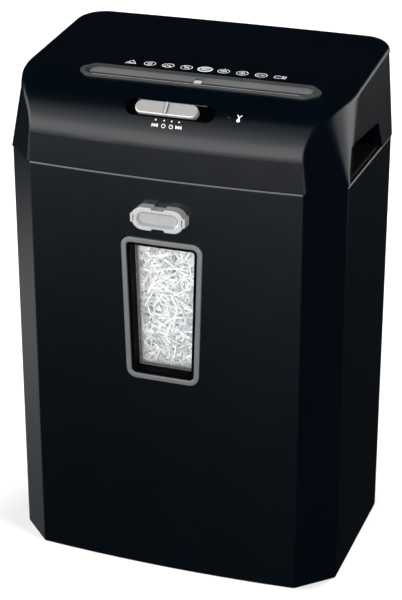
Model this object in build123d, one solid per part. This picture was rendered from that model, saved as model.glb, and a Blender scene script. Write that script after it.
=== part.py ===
from build123d import *
from math import acos, asin, atan2, cos, degrees, hypot, pi, radians, sin, sqrt, tan
import os

# Desk-side paper shredder: a bin with cut front corners and a cutting head that lifts off it.
# Millimetres. X to the right, front towards -Y, Z up. The origin is the middle of the bin's foot.

# Outer form
WIDTH = 345.0
FRONT_FLAT = 111.0
REAR_FLAT = 111.0
FRONT_BOW = 6.0
CORNER_CUT = 34.0
BIN_HEIGHT = 428.0
EDGE_RADIUS = 4.0
REAR_RADIUS = 34.0
FOOT_RADIUS = 1.2
LIP_BEVEL = 4.0
LIP_RISE = 1.8
SEAM_BEVEL = 0.8

# Head form, heights above the seam
HOOD_WALL = 30.0
TOP_HEIGHT = 86.1
TOP_SLOPE = 5.5
HEAD_PROUD = 1.6
HEAD_LEAN = 4.2
CHEEK_RADIUS = 150.0
CHEEK_STEP = 0.6
HOOD_EDGE = 6.0
ROLL_WIDTH = 7.0
LOFT_MARGIN = 20.0

# Walls and clearances
BIN_WALL = 3.0
BIN_FLOOR = 3.5
COVER_WALL = 2.6
SEAT_GAP = 0.2
SLIDE_GAP = 0.35
RUN_GAP = 0.05
SKIRT_GAP = 0.8
SKIRT_WALL = 2.2
SKIRT_DEPTH = 12.0
BASE_THICKNESS = 3.0
MERGE = 0.5
CUT_CLEAR = 1.0

# Window
WINDOW_WIDTH = 73.4
WINDOW_FOOT = 65.4
WINDOW_HEIGHT = 139.7
WINDOW_DROP = 137.15
WINDOW_RADIUS = 5.0
FRAME_BORDER = 5.2
FRAME_PROUD = 2.0
WELL_WALL = 3.0
WELL_DEPTH = 17.0
WELL_LIP = 2.0
PANE_THICKNESS = 2.0

# Front grip
GRIP_LENGTH = 53.4
GRIP_HEIGHT = 23.0
GRIP_DROP = 37.7
GRIP_PROUD = 11.0
GRIP_EDGE = 0.5
NOTCH_WIDTH = 13.0
NOTCH_DEPTH = 2.0
PAD_LENGTH = 39.0
PAD_HEIGHT = 11.0
PAD_BEVEL = 2.0
PAD_THICKNESS = 1.0
CLIP_HEIGHT = 9.0
CLIP_PROUD = 1.2
CLIP_SLIT = 1.0
PEG_RADIUS = 3.0
PEG_SPACING = 30.0

# Throat
THROAT_Y = -57.0
BEZEL_LEFT = 63.3
BEZEL_RIGHT = 31.3
BEZEL_WIDTH = 29.2
BEZEL_END = 14.5
BEZEL_ROUND = 8.5
BEZEL_PROUD = 2.2
BEZEL_BEVEL = 1.2
BEZEL_FLANGE = 2.0
BEZEL_BORDER = 12.7
COLLAR_WALL = 1.6
COLLAR_DEPTH = 6.0
GUIDE_RUN = 11.3
GUIDE_DROP = 0.8
GUIDE_TOP = 0.2
GUIDE_THICKNESS = 1.8
GUIDE_EDGE = 1.2
GUIDE_ROUND = 0.5
LIP_BACK = 2.5
GUIDE_LIP = 12.0
FUNNEL_TOP = 72.0
FUNNEL_FOOT = 52.5
FUNNEL_WALL = 2.5
PAPER_GAP = 8.0

# Slide control
SLIDER_X = 0.9
SLIDER_TILT = 45.0
KNOB_LENGTH = 62.6
KNOB_HEIGHT = 14.0
KNOB_PROUD = 2.4
KNOB_EDGE = 1.6
RIB_WIDTH = 2.4
RIB_PROUD = 1.3
TRAY_DEPTH = 4.6
TRAY_FLOOR = 1.5
TRAY_WALL = 1.4
STEP_BACK = 8.5
STEPS_FORWARD = 15.0
STEM_LENGTH = 6.0
STEM_WIDTH = 4.0
SWITCH_LENGTH = 40.0
SWITCH_WIDTH = 12.0
SWITCH_DEPTH = 6.5
LENS_X = 62.9
LENS_RADIUS = 2.2
LENS_PROUD = 0.5

# Hand-holds in the sides of the head
HOLD_FRONT = -42.0
HOLD_REAR = 43.5
HOLD_TOP_REAR = 31.0
HOLD_HEIGHT = 30.0
HOLD_RADIUS = 5.0
SCOOP_FRONT = -76.0
SCOOP_PEAK = -56.0
SCOOP_HEIGHT = 39.0
SCOOP_DEPTH = 6.0
HOLD_FLANGE = 10.0
CUP_DEPTH = 26.0
CUP_WALL = 1.8

# Cutters
NIP_Y = -64.0
CUTTER_Z = 33.0
SHAFT_SPACING = 33.0
DISC_RIM = 18.4
DISC_TIP = 19.6
DISC_GULLET = 16.2
DISC_TEETH = 3
TOOTH_RISE = 0.12
TOOTH_GULLET = 0.16
TOOTH_HOOK = 0.016
HOLLOW_DIP = 0.7
DISC_THICKNESS = 3.9
DISC_PITCH = 8.0
DISC_TWIST = 13.0
GEAR_ROOM = 77.5
HOLD_ROOM = 47.0
SPACER_RADIUS = 12.0
STRIPPER_THICKNESS = 3.7
STRIPPER_REACH = 18.8
STRIPPER_EDGE = 1.5
STRIPPER_GAP = 0.6
HEX_FLATS = 14.0
HEX_GAP = 0.05
JOURNAL_RADIUS = 6.0
SHAFT_END = 0.8
BUSH_RADIUS = 9.0
BUSH_FLANGE = 11.0
BUSH_FLANGE_THICKNESS = 1.5
PLATE_THICKNESS = 2.5
PLATE_CLEAR = 3.0
PLATE_TOP = 58.0
PLATE_TALL = 72.0
PLATE_SHOULDER = 48.0
PLATE_MARGIN = 5.1
PLATE_REAR = 86.0
PLATE_FOOT = 10.0
ANGLE_HEIGHT = 12.0
ROD_RADIUS = 3.0
ROD_SPREAD = 13.0

# Gear train, pressure angle in degrees, from the cutters back to the motor
PRESSURE = 20.0
ADDENDUM = 0.95
DEDENDUM = 1.25
ROOT_STEP = 0.05
BACKLASH = 0.12
SYNC_TEETH = 22
DRIVE_TEETH = 44
DRIVE_MODULE = 1.25
PINION_TEETH = 17
SECOND_TEETH = 48
FIRST_TEETH = 46
FINE_MODULE = 1.0
SYNC_FACE = 9.0
DRIVE_FACE = 10.0
FINE_FACE = 8.0
GEAR_CLEAR = 2.0
SECOND_ANGLE = 15.0
FIRST_ANGLE = -10.0
MOTOR_ANGLE = 8.0
AXLE_RADIUS = 4.0
POST_RADIUS = 4.0
WEB_DEPTH = 2.0
RIM_DEPTH = 4.0
HUB_WALL = 4.5
PINION_HUB = 6.5
FRONT_POST_ANGLE = 113.0
REAR_POST_ANGLE = 49.0
POST_SHOULDER = 1.5

# Motor
MOTOR_RADIUS = 30.0
MOTOR_LENGTH = 72.0
BELL_RADIUS = 31.5
BELL_LENGTH = 8.0
BOSS_RADIUS = 10.0
MOTOR_SHAFT = 4.0
MOTOR_SLOTS = 10
MOTOR_SLOT_WIDTH = 5.0
MOTOR_SLOT_DEPTH = 4.0
SADDLE_HALF = 21.0

# Paper sensor
SENSOR_SHIFT = -0.7
SENSOR_WIDTH = 7.0
SENSOR_PIVOT_BACK = 11.0
SENSOR_PIVOT_DROP = 17.1
SENSOR_REACH = 18.0
SENSOR_SINK = 3.0
SENSOR_RISE = 9.6
SENSOR_BEND = 7.2
SENSOR_EDGE = 11.9
SENSOR_TAIL = 7.0
SENSOR_ARM = 3.0
SENSOR_HUB = 3.6
SENSOR_PIN = 1.5
SENSOR_SLOT_GAP = 1.0
SENSOR_SLOT_RUN = 8.8
SENSOR_REST = 15.0

# Interlock, board, gland, screws and vents
TAB_INSET = 70.5
TAB_WIDTH = 15.0
TAB_THICKNESS = 4.0
TAB_RISE = 9.0
TAB_ROOT = 22.0
PLUNGER_WIDTH = 4.0
PLUNGER_LOW = 1.0
PLUNGER_HEIGHT = 3.0
BOARD_INSET = 94.5
BOARD_Y = 42.0
BOARD_LENGTH = 90.0
BOARD_WIDTH = 62.0
BOARD_THICKNESS = 1.6
BOARD_RISE = 7.0
RELAY_SIZE = (22.0, 16.0, 17.0)
CAPACITOR_RADIUS = 6.0
CAPACITOR_HEIGHT = 20.0
PLUG_SIZE = (20.0, 8.0, 10.0)
CHIP_SIZE = (10.0, 18.0, 3.0)
SINK_SIZE = (4.0, 40.0, 24.0)
RELAY_PLACE = (-20.0, 12.0)
CAPACITOR_PLACE = (14.0, 10.0)
PLUG_PLACE = (-14.0, -20.0)
CHIP_PLACE = (14.0, -12.0)
SINK_PLACE = (33.0, 2.0)
GLAND_INSET = 52.5
GLAND_Z = 20.0
GLAND_RADIUS = 7.0
GLAND_BORE = 3.8
GLAND_FLANGE = 10.0
GLAND_PROUD = 2.5
SCREW_RADIUS = 1.9
SCREW_HEAD = 4.0
SCREW_HEAD_HEIGHT = 2.4
SCREW_BITE = 9.0
FRONT_SCREW_INSET = 27.0
REAR_SCREW_INSET = 24.0
SIDE_SCREW_BACK = 39.0
MIDDLE_SCREW_BACK = 13.0
BOSS_OUTER = 4.5
VENT_COUNT = 8
VENT_PITCH = 9.0
VENT_WIDTH = 3.5
VENT_FOOT = 24.0
VENT_HEIGHT = 34.0
VENT_INSET = 80.5

# Places worked out from the sizes above
SEAM = BIN_HEIGHT
HALF = WIDTH / 2
BOW_RADIUS = ((HALF - CORNER_CUT) ** 2 + FRONT_BOW**2) / (2 * FRONT_BOW)
BOW_CENTRE = BOW_RADIUS - FRONT_FLAT - FRONT_BOW
SLOPE = tan(radians(TOP_SLOPE))
HOOD_RADIUS = (
    (TOP_HEIGHT - SLOPE * (FRONT_FLAT + FRONT_BOW) - HOOD_WALL)
    * cos(radians(TOP_SLOPE))
    / (1 - sin(radians(TOP_SLOPE)))
)
HOOD_CENTRE_Y = -FRONT_FLAT - FRONT_BOW + HOOD_RADIUS
LOFT_HEIGHT = TOP_HEIGHT + SLOPE * REAR_FLAT + LOFT_MARGIN
BASE_TOP = SEAM + BASE_THICKNESS
BEZEL_LENGTH = WIDTH - BEZEL_LEFT - BEZEL_RIGHT
THROAT_LENGTH = BEZEL_LENGTH - 2 * BEZEL_BORDER
BEZEL_RIM = BEZEL_FLANGE + SEAT_GAP + COLLAR_WALL
THROAT_WIDTH = BEZEL_WIDTH - 2 * BEZEL_RIM
THROAT_X = (BEZEL_LEFT - BEZEL_RIGHT) / 2
SENSOR_X = THROAT_X + SENSOR_SHIFT
BOARD_X = HALF - BOARD_INSET
TAB_X = HALF - TAB_INSET
GLAND_X = GLAND_INSET - HALF
VENT_X = VENT_INSET - HALF
WINDOW_Z = SEAM - WINDOW_DROP
GRIP_Z = SEAM - GRIP_DROP
FRONT_SHAFT_Y = NIP_Y - SHAFT_SPACING / 2
REAR_SHAFT_Y = NIP_Y + SHAFT_SPACING / 2
SHAFT_Z = SEAM + CUTTER_Z
STACK_START = GEAR_ROOM - HALF
STACK_ROOM = WIDTH - GEAR_ROOM - HOLD_ROOM
FRONT_DISCS = int((STACK_ROOM - DISC_THICKNESS) / DISC_PITCH) + 1
STACK_LENGTH = (FRONT_DISCS - 1) * DISC_PITCH + DISC_THICKNESS
STACK_END = STACK_START + STACK_LENGTH
LEFT_PLATE = STACK_START - PLATE_CLEAR
RIGHT_PLATE = STACK_END + PLATE_CLEAR
LEFT_OUTER = LEFT_PLATE - PLATE_THICKNESS
RIGHT_OUTER = RIGHT_PLATE + PLATE_THICKNESS
SYNC_MODULE = SHAFT_SPACING / SYNC_TEETH
SYNC_END = LEFT_OUTER - GEAR_CLEAR - BUSH_FLANGE_THICKNESS
DRIVE_END = SYNC_END - SYNC_FACE - GEAR_CLEAR
FINE_END = DRIVE_END - DRIVE_FACE - GEAR_CLEAR
GEAR_PLATE = FINE_END - FINE_FACE - GEAR_CLEAR
PLATE_FRONT = FRONT_SHAFT_Y - STRIPPER_REACH - PLATE_MARGIN
PLATE_BACK = REAR_SHAFT_Y + STRIPPER_REACH + PLATE_MARGIN
SYNC_START = SYNC_END - SYNC_FACE
DRIVE_START = DRIVE_END - DRIVE_FACE
FINE_START = FINE_END - FINE_FACE
SYNC_TIP = (SYNC_TEETH / 2 + ADDENDUM) * SYNC_MODULE
FIRST_TIP = (FIRST_TEETH / 2 + ADDENDUM) * FINE_MODULE
REAR_START = STACK_START + DISC_PITCH / 2
STRIPPER_INSET = (DISC_PITCH - DISC_THICKNESS - STRIPPER_THICKNESS) / 2


def polar_step(start, distance, angle):
    """Point at a distance and an angle, in degrees above the rear, from a start in Y and Z."""
    return (start[0] + distance * cos(radians(angle)), start[1] + distance * sin(radians(angle)))


FRONT_AXIS = (FRONT_SHAFT_Y, SHAFT_Z)
REAR_AXIS = (REAR_SHAFT_Y, SHAFT_Z)
SECOND_AXIS = polar_step(REAR_AXIS, (DRIVE_TEETH + PINION_TEETH) * DRIVE_MODULE / 2, SECOND_ANGLE)
FIRST_AXIS = polar_step(SECOND_AXIS, (SECOND_TEETH + PINION_TEETH) * FINE_MODULE / 2, FIRST_ANGLE)
MOTOR_AXIS = polar_step(FIRST_AXIS, (FIRST_TEETH + PINION_TEETH) * FINE_MODULE / 2, MOTOR_ANGLE)
SENSOR_AXIS = (THROAT_Y + SENSOR_PIVOT_BACK, SEAM + TOP_HEIGHT - SENSOR_PIVOT_DROP)
POST_PLACES = [
    polar_step(FRONT_AXIS, SYNC_TIP + POST_RADIUS + GEAR_CLEAR, FRONT_POST_ANGLE),
    polar_step(FIRST_AXIS, FIRST_TIP + 2 * POST_RADIUS + GEAR_CLEAR, REAR_POST_ANGLE),
]
FRONT_RODS = [(FRONT_SHAFT_Y - STRIPPER_REACH, SHAFT_Z + rise) for rise in (-ROD_SPREAD, ROD_SPREAD)]
REAR_RODS = [(REAR_SHAFT_Y + STRIPPER_REACH, SHAFT_Z + rise) for rise in (-ROD_SPREAD, ROD_SPREAD)]


# Helpers
def across(x, y=0.0, z=0.0):
    """Plane at X = x that faces +X, drawn in Y and Z."""
    return Plane(origin=(x, y, z), x_dir=(0, 1, 0), z_dir=(1, 0, 0))


def facing_front(x, y, z):
    """Plane that faces the front, drawn in X and Z."""
    return Plane(origin=(x, y, z), x_dir=(1, 0, 0), z_dir=(0, -1, 0))


def bar(x0, x1, axis, radius):
    """Round bar along X."""
    return extrude(across(x0, *axis) * Circle(radius), amount=x1 - x0)


def block(x0, x1, y0, y1, z0, z1):
    """Box given by its limits."""
    return Pos((x0 + x1) / 2, (y0 + y1) / 2, (z0 + z1) / 2) * Box(x1 - x0, y1 - y0, z1 - z0)


def area(*points):
    """Flat face with straight sides."""
    return make_face(Polyline(*points, close=True))


def profile_bar(x0, x1, *points):
    """Straight-sided profile in Y and Z, run along X."""
    return extrude(across(x0) * area(*points), amount=x1 - x0)


def top_at(y):
    """Height of the head's top surface on the centre plane."""
    return SEAM + TOP_HEIGHT + SLOPE * y


def outline(inset=0.0):
    """Plan of the bin: bowed front, cut front corners, rounded rear corners."""
    half = HALF - inset
    front = FRONT_FLAT - inset
    rear = REAR_FLAT - inset
    cut = CORNER_CUT - (2 - sqrt(2)) * inset
    left = (-(half - cut), -front)
    right = (half - cut, -front)
    right_side = (half, cut - front)
    left_side = (-half, cut - front)
    face = make_face(
        [
            ThreePointArc(left, (0, -front - FRONT_BOW), right),
            Polyline(right, right_side, (half, rear), (-half, rear), left_side, left),
        ]
    )
    corners = face.vertices()
    face = fillet(corners.filter_by(lambda v: v.Y > 0), max(REAR_RADIUS - inset, 1.0))
    sharp = [v for v in face.vertices() if v.Y < cut - front + 1.0]
    return fillet(sharp, max(EDGE_RADIUS - inset, 0.5))


def cheek_plan(inset, corner_radius, height):
    """Plan of the head's side walls at one height, with the front left wide."""
    half = HALF - inset
    rear = REAR_FLAT - inset
    side = CORNER_CUT - FRONT_FLAT + inset * (1 - (2 - sqrt(2)))
    reach = 2 * CORNER_CUT
    face = area(
        (-(half - reach), side - reach),
        (half - reach, side - reach),
        (half, side),
        (half, rear),
        (-half, rear),
        (-half, side),
    )
    rear_corners = [v for v in face.vertices() if v.Y > rear - 1.0]
    face = fillet(rear_corners, REAR_RADIUS - inset)
    side_corners = [v for v in face.vertices() if abs(v.Y - side) < 0.5]
    return Pos(0, 0, height) * fillet(side_corners, corner_radius)


def hood_profile(inset, foot, bevel):
    """Side view of the head: upright front, large rounding, top rising to the rear."""
    lean = radians(TOP_SLOPE)
    radius = HOOD_RADIUS - inset
    front = HOOD_CENTRE_Y - radius
    rear = REAR_FLAT + LOFT_MARGIN
    middle = (pi + pi / 2 + lean) / 2
    centre_z = SEAM + HOOD_WALL
    start = (front, centre_z)
    half_way = (HOOD_CENTRE_Y + radius * cos(middle), centre_z + radius * sin(middle))
    end = (HOOD_CENTRE_Y - radius * sin(lean), centre_z + radius * cos(lean))
    back = (rear, top_at(rear) - inset / cos(lean))
    lines = [
        Line((front, foot + bevel), start),
        ThreePointArc(start, half_way, end),
        Polyline(end, back, (rear, foot), (front + bevel, foot)),
        Line((front + bevel, foot), (front, foot + bevel)),
    ]
    return Plane.YZ * make_face(lines)


def head_pair(inset, foot, bevel):
    """The two forms that make the head: a bowed hood and a ring of leaning side walls."""
    sweep = 2 * degrees(asin(1.2 * HALF / (BOW_RADIUS - FRONT_FLAT - REAR_FLAT)))
    axis = Axis((0, BOW_CENTRE, 0), (0, 0, 1))
    hood = revolve(hood_profile(inset, foot, bevel), axis, sweep)
    hood = Pos(0, BOW_CENTRE, 0) * Rot(0, 0, -sweep / 2) * Pos(0, -BOW_CENTRE, 0) * hood
    lean = tan(radians(HEAD_LEAN))
    proud = inset - HEAD_PROUD
    plans = [
        cheek_plan(proud + bevel, EDGE_RADIUS, foot),
        cheek_plan(proud, EDGE_RADIUS, foot + bevel),
        cheek_plan(proud + lean * LOFT_HEIGHT, CHEEK_RADIUS, SEAM + LOFT_HEIGHT),
    ]
    return hood, loft(plans, ruled=True)


def head_outer():
    """Outer solid of the head: a hood with a rolled edge that stands proud of the side walls."""
    hood, walls = head_pair(0.0, SEAM, SEAM_BEVEL)
    form = hood & walls
    upper = [e for e in new_edges(hood, walls, combined=form) if e.center().Z > SEAM + SEAM_BEVEL]
    form = fillet(upper, HOOD_EDGE)
    within_roll = head_pair(ROLL_WIDTH, SEAM - CUT_CLEAR, CUT_CLEAR)[0]
    stepped_walls = head_pair(CHEEK_STEP, SEAM, SEAM_BEVEL)[1]
    return form - (within_roll - stepped_walls)


def head_inside(inset):
    """Form of the head, shrunk by an inset and run a little below the seam."""
    hood, walls = head_pair(inset, SEAM - CUT_CLEAR, CUT_CLEAR)
    return hood & walls


HEAD = head_outer()
HEAD_INSIDE = head_inside(COVER_WALL)


def hood_plane(x, tilt):
    """Plane on the hood's rounding that faces forward and up by the tilt, drawn in X and up-slope."""
    sag = BOW_RADIUS - sqrt(BOW_RADIUS**2 - x**2)
    turn = radians(tilt)
    return Plane(
        origin=(
            x,
            HOOD_CENTRE_Y - HOOD_RADIUS * cos(turn) + sag,
            SEAM + HOOD_WALL + HOOD_RADIUS * sin(turn),
        ),
        x_dir=(1, 0, 0),
        z_dir=(0, -cos(turn), sin(turn)),
    )


THROAT = Plane(
    origin=(THROAT_X, THROAT_Y, top_at(THROAT_Y)),
    x_dir=(1, 0, 0),
    z_dir=(0, -sin(radians(TOP_SLOPE)), cos(radians(TOP_SLOPE))),
)
SLIDER = hood_plane(SLIDER_X, SLIDER_TILT)
TRAVEL = STEP_BACK + STEPS_FORWARD
POCKET_SHIFT = (STEPS_FORWARD - STEP_BACK) / 2
POCKET_LENGTH = KNOB_LENGTH + TRAVEL + 2 * SLIDE_GAP
POCKET_HEIGHT = KNOB_HEIGHT + 2 * SLIDE_GAP
STEM_SLOT_LENGTH = STEM_LENGTH + TRAVEL + 2 * SLIDE_GAP
STEM_SLOT_WIDTH = STEM_WIDTH + 2 * SLIDE_GAP
TRAY_FOOT = TRAY_DEPTH + TRAY_FLOOR
TAB_FACE = REAR_FLAT - BIN_WALL - TAB_THICKNESS - SKIRT_GAP
SCREW_PLACES = [
    (HALF - FRONT_SCREW_INSET, CORNER_CUT - FRONT_FLAT),
    (FRONT_SCREW_INSET - HALF, CORNER_CUT - FRONT_FLAT),
    (HALF - REAR_SCREW_INSET, REAR_FLAT - SIDE_SCREW_BACK),
    (REAR_SCREW_INSET - HALF, REAR_FLAT - SIDE_SCREW_BACK),
    (0.0, REAR_FLAT - MIDDLE_SCREW_BACK),
]


def slab(plane, face, low, high):
    """Face drawn on a plane and run from one height over it to another."""
    return extrude(plane.offset(low) * face, amount=high - low)


# Bin
def window_area(grow, radius):
    """Outline of the window, a little narrower at its foot, grown on every side."""
    lean = (WINDOW_WIDTH - WINDOW_FOOT) / (2 * WINDOW_HEIGHT)
    middle = (WINDOW_WIDTH + WINDOW_FOOT) / 4 + grow * sqrt(1 + lean**2)
    rise = WINDOW_HEIGHT / 2 + grow
    top, foot = middle + lean * rise, middle - lean * rise
    face = area((-foot, -rise), (foot, -rise), (top, rise), (-top, rise))
    return fillet(face.vertices(), radius)


def window_slab(grow, radius, depth_front, depth_rear):
    """Window outline run between two depths behind the front of the bow."""
    plane = facing_front(0, -FRONT_FLAT - FRONT_BOW, WINDOW_Z)
    return slab(plane, window_area(grow, radius), -depth_rear, -depth_front)


def make_bin_shell():
    body = extrude(outline(), amount=BIN_HEIGHT)
    body = fillet(body.edges().group_by(Axis.Z)[0], FOOT_RADIUS)
    rim = body.faces().sort_by(Axis.Z)[-1]
    body = chamfer(rim.edges(), LIP_BEVEL, LIP_RISE, reference=rim)
    inside = Pos(0, 0, BIN_FLOOR) * extrude(outline(BIN_WALL), amount=BIN_HEIGHT)
    body -= fillet(inside.edges().group_by(Axis.Z)[0], BIN_WALL)
    body -= window_slab(0, WINDOW_RADIUS, -BIN_WALL, 4 * BIN_WALL)
    body -= grip_pegs(PEG_RADIUS + SEAT_GAP)
    left, right = TAB_X - TAB_WIDTH / 2, TAB_X + TAB_WIDTH / 2
    root = block(left, right, TAB_FACE, REAR_FLAT - BIN_WALL / 2, SEAM - TAB_ROOT, SEAM - LIP_RISE)
    tongue = block(left, right, TAB_FACE, TAB_FACE + TAB_THICKNESS, SEAM - TAB_ROOT, SEAM + TAB_RISE)
    return body + root + tongue


def make_window_frame():
    ring = window_slab(FRAME_BORDER, WINDOW_RADIUS + FRAME_BORDER, -2 * FRAME_PROUD, BIN_WALL)
    ring -= window_slab(0, WINDOW_RADIUS, -3 * FRAME_PROUD, 2 * BIN_WALL)
    skin = extrude(outline(-FRAME_PROUD), amount=BIN_HEIGHT) - extrude(outline(), amount=BIN_HEIGHT)
    frame = ring & skin
    front = [f for f in frame.faces() if f.center().Y < -FRONT_FLAT - FRONT_BOW - FRAME_PROUD + 0.6]
    return fillet(front[0].edges(), FRAME_PROUD / 3)


def make_window_well():
    tube = window_slab(-SEAT_GAP, WINDOW_RADIUS, 0, WELL_DEPTH)
    inner = -SEAT_GAP - WELL_WALL
    hole = window_slab(inner, WINDOW_RADIUS / 2, -CUT_CLEAR, WELL_DEPTH - WELL_LIP)
    sight = window_slab(inner - WELL_LIP, WINDOW_RADIUS / 2, 0, WELL_DEPTH + CUT_CLEAR)
    return (tube - hole - sight) & extrude(outline(), amount=BIN_HEIGHT)


def make_window_pane():
    seat = WELL_DEPTH - WELL_LIP
    return window_slab(-2 * SEAT_GAP - WELL_WALL, WINDOW_RADIUS / 2, seat - PANE_THICKNESS, seat)


def grip_plane():
    """Front face of the grip."""
    return facing_front(0, -FRONT_FLAT - FRONT_BOW - GRIP_PROUD, GRIP_Z)


def grip_pegs(radius):
    """Two pegs that hold the grip to the bin's front wall."""
    peg = slab(grip_plane(), Circle(radius), -GRIP_PROUD - 2 * BIN_WALL, -GRIP_PROUD / 2)
    return Pos(-PEG_SPACING / 2, 0, 0) * peg + Pos(PEG_SPACING / 2, 0, 0) * peg


def pad_recess():
    """Seat of the grip's pad, with a bevelled mouth."""
    low = SlotOverall(PAD_LENGTH, PAD_HEIGHT)
    high = SlotOverall(PAD_LENGTH + 2 * PAD_BEVEL, PAD_HEIGHT + 2 * PAD_BEVEL)
    mouth = loft([grip_plane().offset(-PAD_BEVEL) * low, grip_plane() * high], ruled=True)
    return mouth + slab(grip_plane(), low, -PAD_BEVEL - PAD_THICKNESS, -PAD_BEVEL)


def make_front_grip():
    face = SlotOverall(GRIP_LENGTH, GRIP_HEIGHT)
    notch = RectangleRounded(NOTCH_WIDTH, 2 * NOTCH_DEPTH, NOTCH_DEPTH / 2)
    clip = RectangleRounded(4 * CLIP_PROUD, CLIP_HEIGHT, CLIP_PROUD / 2)
    for end in (-1, 1):
        face -= Pos(0, end * GRIP_HEIGHT / 2) * notch
        face += Pos(end * (GRIP_LENGTH / 2 - CLIP_PROUD), 0) * clip
    body = slab(grip_plane(), face, -GRIP_PROUD - BIN_WALL, 0)
    front = body.faces().sort_by(Axis.Y)[0]
    body = fillet(front.edges(), GRIP_EDGE)
    body -= pad_recess()
    slit = Rectangle(CLIP_SLIT, CLIP_HEIGHT - 2 * CLIP_PROUD)
    for end in (-1, 1):
        place = Pos(end * (GRIP_LENGTH / 2 - 2 * CLIP_SLIT), 0)
        body -= slab(grip_plane(), place * slit, -GRIP_PROUD / 2, CUT_CLEAR)
    body -= extrude(outline(), amount=BIN_HEIGHT)
    return body + grip_pegs(PEG_RADIUS)


def make_grip_pad():
    face = SlotOverall(PAD_LENGTH - 2 * SEAT_GAP, PAD_HEIGHT - 2 * SEAT_GAP)
    return slab(grip_plane(), face, -PAD_BEVEL - PAD_THICKNESS, -PAD_BEVEL)


# Head shell
def hold_area():
    """Hand-hold opening in the side of the head, drawn in Y and Z."""
    face = area(
        (HOLD_FRONT, SEAM - CUT_CLEAR),
        (HOLD_FRONT, SEAM + HOLD_HEIGHT),
        (HOLD_TOP_REAR, SEAM + HOLD_HEIGHT),
        (HOLD_REAR, SEAM - CUT_CLEAR),
    )
    return fillet([v for v in face.vertices() if v.Y > SEAM], HOLD_RADIUS)


def scoop():
    """Finger scoop round the right hand-hold: a wedge that deepens towards the opening."""
    side = area(
        (SCOOP_FRONT, SEAM - CUT_CLEAR),
        (SCOOP_FRONT + HOLD_RADIUS, SEAM + HOLD_HEIGHT),
        (SCOOP_PEAK, SEAM + SCOOP_HEIGHT),
        (HOLD_TOP_REAR, SEAM + HOLD_HEIGHT),
        (HOLD_REAR, SEAM - CUT_CLEAR),
    )
    plan = area(
        (HALF + SCOOP_DEPTH, SCOOP_FRONT),
        (HALF, SCOOP_FRONT),
        (HALF - SCOOP_DEPTH, HOLD_FRONT),
        (HALF, HOLD_REAR),
        (HALF + SCOOP_DEPTH, HOLD_REAR),
    )
    column = Pos(0, 0, SEAM - CUT_CLEAR) * extrude(plan, amount=2 * SCOOP_HEIGHT)
    return column & extrude(across(HALF - 2 * SCOOP_DEPTH) * side, amount=4 * SCOOP_DEPTH)


def hand_hold():
    """What the right hand-hold takes out of the cover."""
    opening = extrude(across(HALF - CUP_DEPTH) * hold_area(), amount=CUP_DEPTH + HOLD_FLANGE)
    return opening + scoop()


def hold_surround():
    """Thick moulded surround of the right hand-hold."""
    low = BASE_TOP + SEAT_GAP
    margin = 2 * CUP_WALL
    body = block(
        HALF - HOLD_FLANGE,
        HALF,
        SCOOP_FRONT - margin,
        HOLD_REAR + margin,
        low,
        SEAM + SCOOP_HEIGHT + margin,
    )
    return body & head_inside(COVER_WALL / 2)


def hexagon(inset=0.0):
    """Outline of the throat bezel: a long bar with pointed, rounded ends."""
    taper = BEZEL_END / (BEZEL_WIDTH / 2)
    half = BEZEL_LENGTH / 2 - inset * sqrt(1 + taper**2)
    side = BEZEL_WIDTH / 2 - inset
    end = half - taper * side
    face = area((-half, 0), (-end, side), (end, side), (half, 0), (end, -side), (-end, -side))
    return fillet(face.vertices(), BEZEL_ROUND)


def tray_area(grow=0.0):
    """Outline of the slide control's tray on its own plane."""
    height = POCKET_HEIGHT + 2 * (TRAY_WALL + grow)
    return Pos(POCKET_SHIFT, 0) * SlotOverall(POCKET_LENGTH + 2 * (TRAY_WALL + grow), height)


def screw_boss(place):
    """Post under the cover that takes a screw from the base."""
    post = Pos(*place, BASE_TOP) * extrude(Circle(BOSS_OUTER), amount=LOFT_HEIGHT)
    return post & head_inside(COVER_WALL / 2)


def make_head_cover():
    shell = HEAD - HEAD_INSIDE
    surround = hold_surround()
    shell += surround + mirror(surround, Plane.YZ)
    for place in SCREW_PLACES:
        shell += screw_boss(place)
        shell -= Pos(*place, BASE_TOP) * extrude(Circle(SCREW_RADIUS), amount=SCREW_BITE)
    hold = hand_hold()
    shell -= hold
    shell -= mirror(hold, Plane.YZ)
    shell -= slab(THROAT, hexagon(BEZEL_FLANGE), -BEZEL_WIDTH / 2, BEZEL_WIDTH / 2)
    shell -= slab(SLIDER, tray_area(SEAT_GAP), -4 * COVER_WALL, 2 * COVER_WALL)
    lens = hood_plane(LENS_X, SLIDER_TILT)
    shell -= slab(lens, Circle(LENS_RADIUS + SEAT_GAP), -4 * COVER_WALL, 2 * COVER_WALL)
    rear = facing_front(GLAND_X, REAR_FLAT, SEAM + GLAND_Z)
    shell -= slab(rear, Circle(GLAND_RADIUS), -4 * COVER_WALL, 4 * COVER_WALL)
    for i in range(VENT_COUNT):
        x = VENT_X + i * VENT_PITCH
        vent = SlotOverall(VENT_HEIGHT, VENT_WIDTH, rotation=90)
        wall = facing_front(x, REAR_FLAT, SEAM + VENT_FOOT + VENT_HEIGHT / 2)
        shell -= slab(wall, vent, -4 * COVER_WALL, 4 * COVER_WALL)
    return shell


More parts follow.
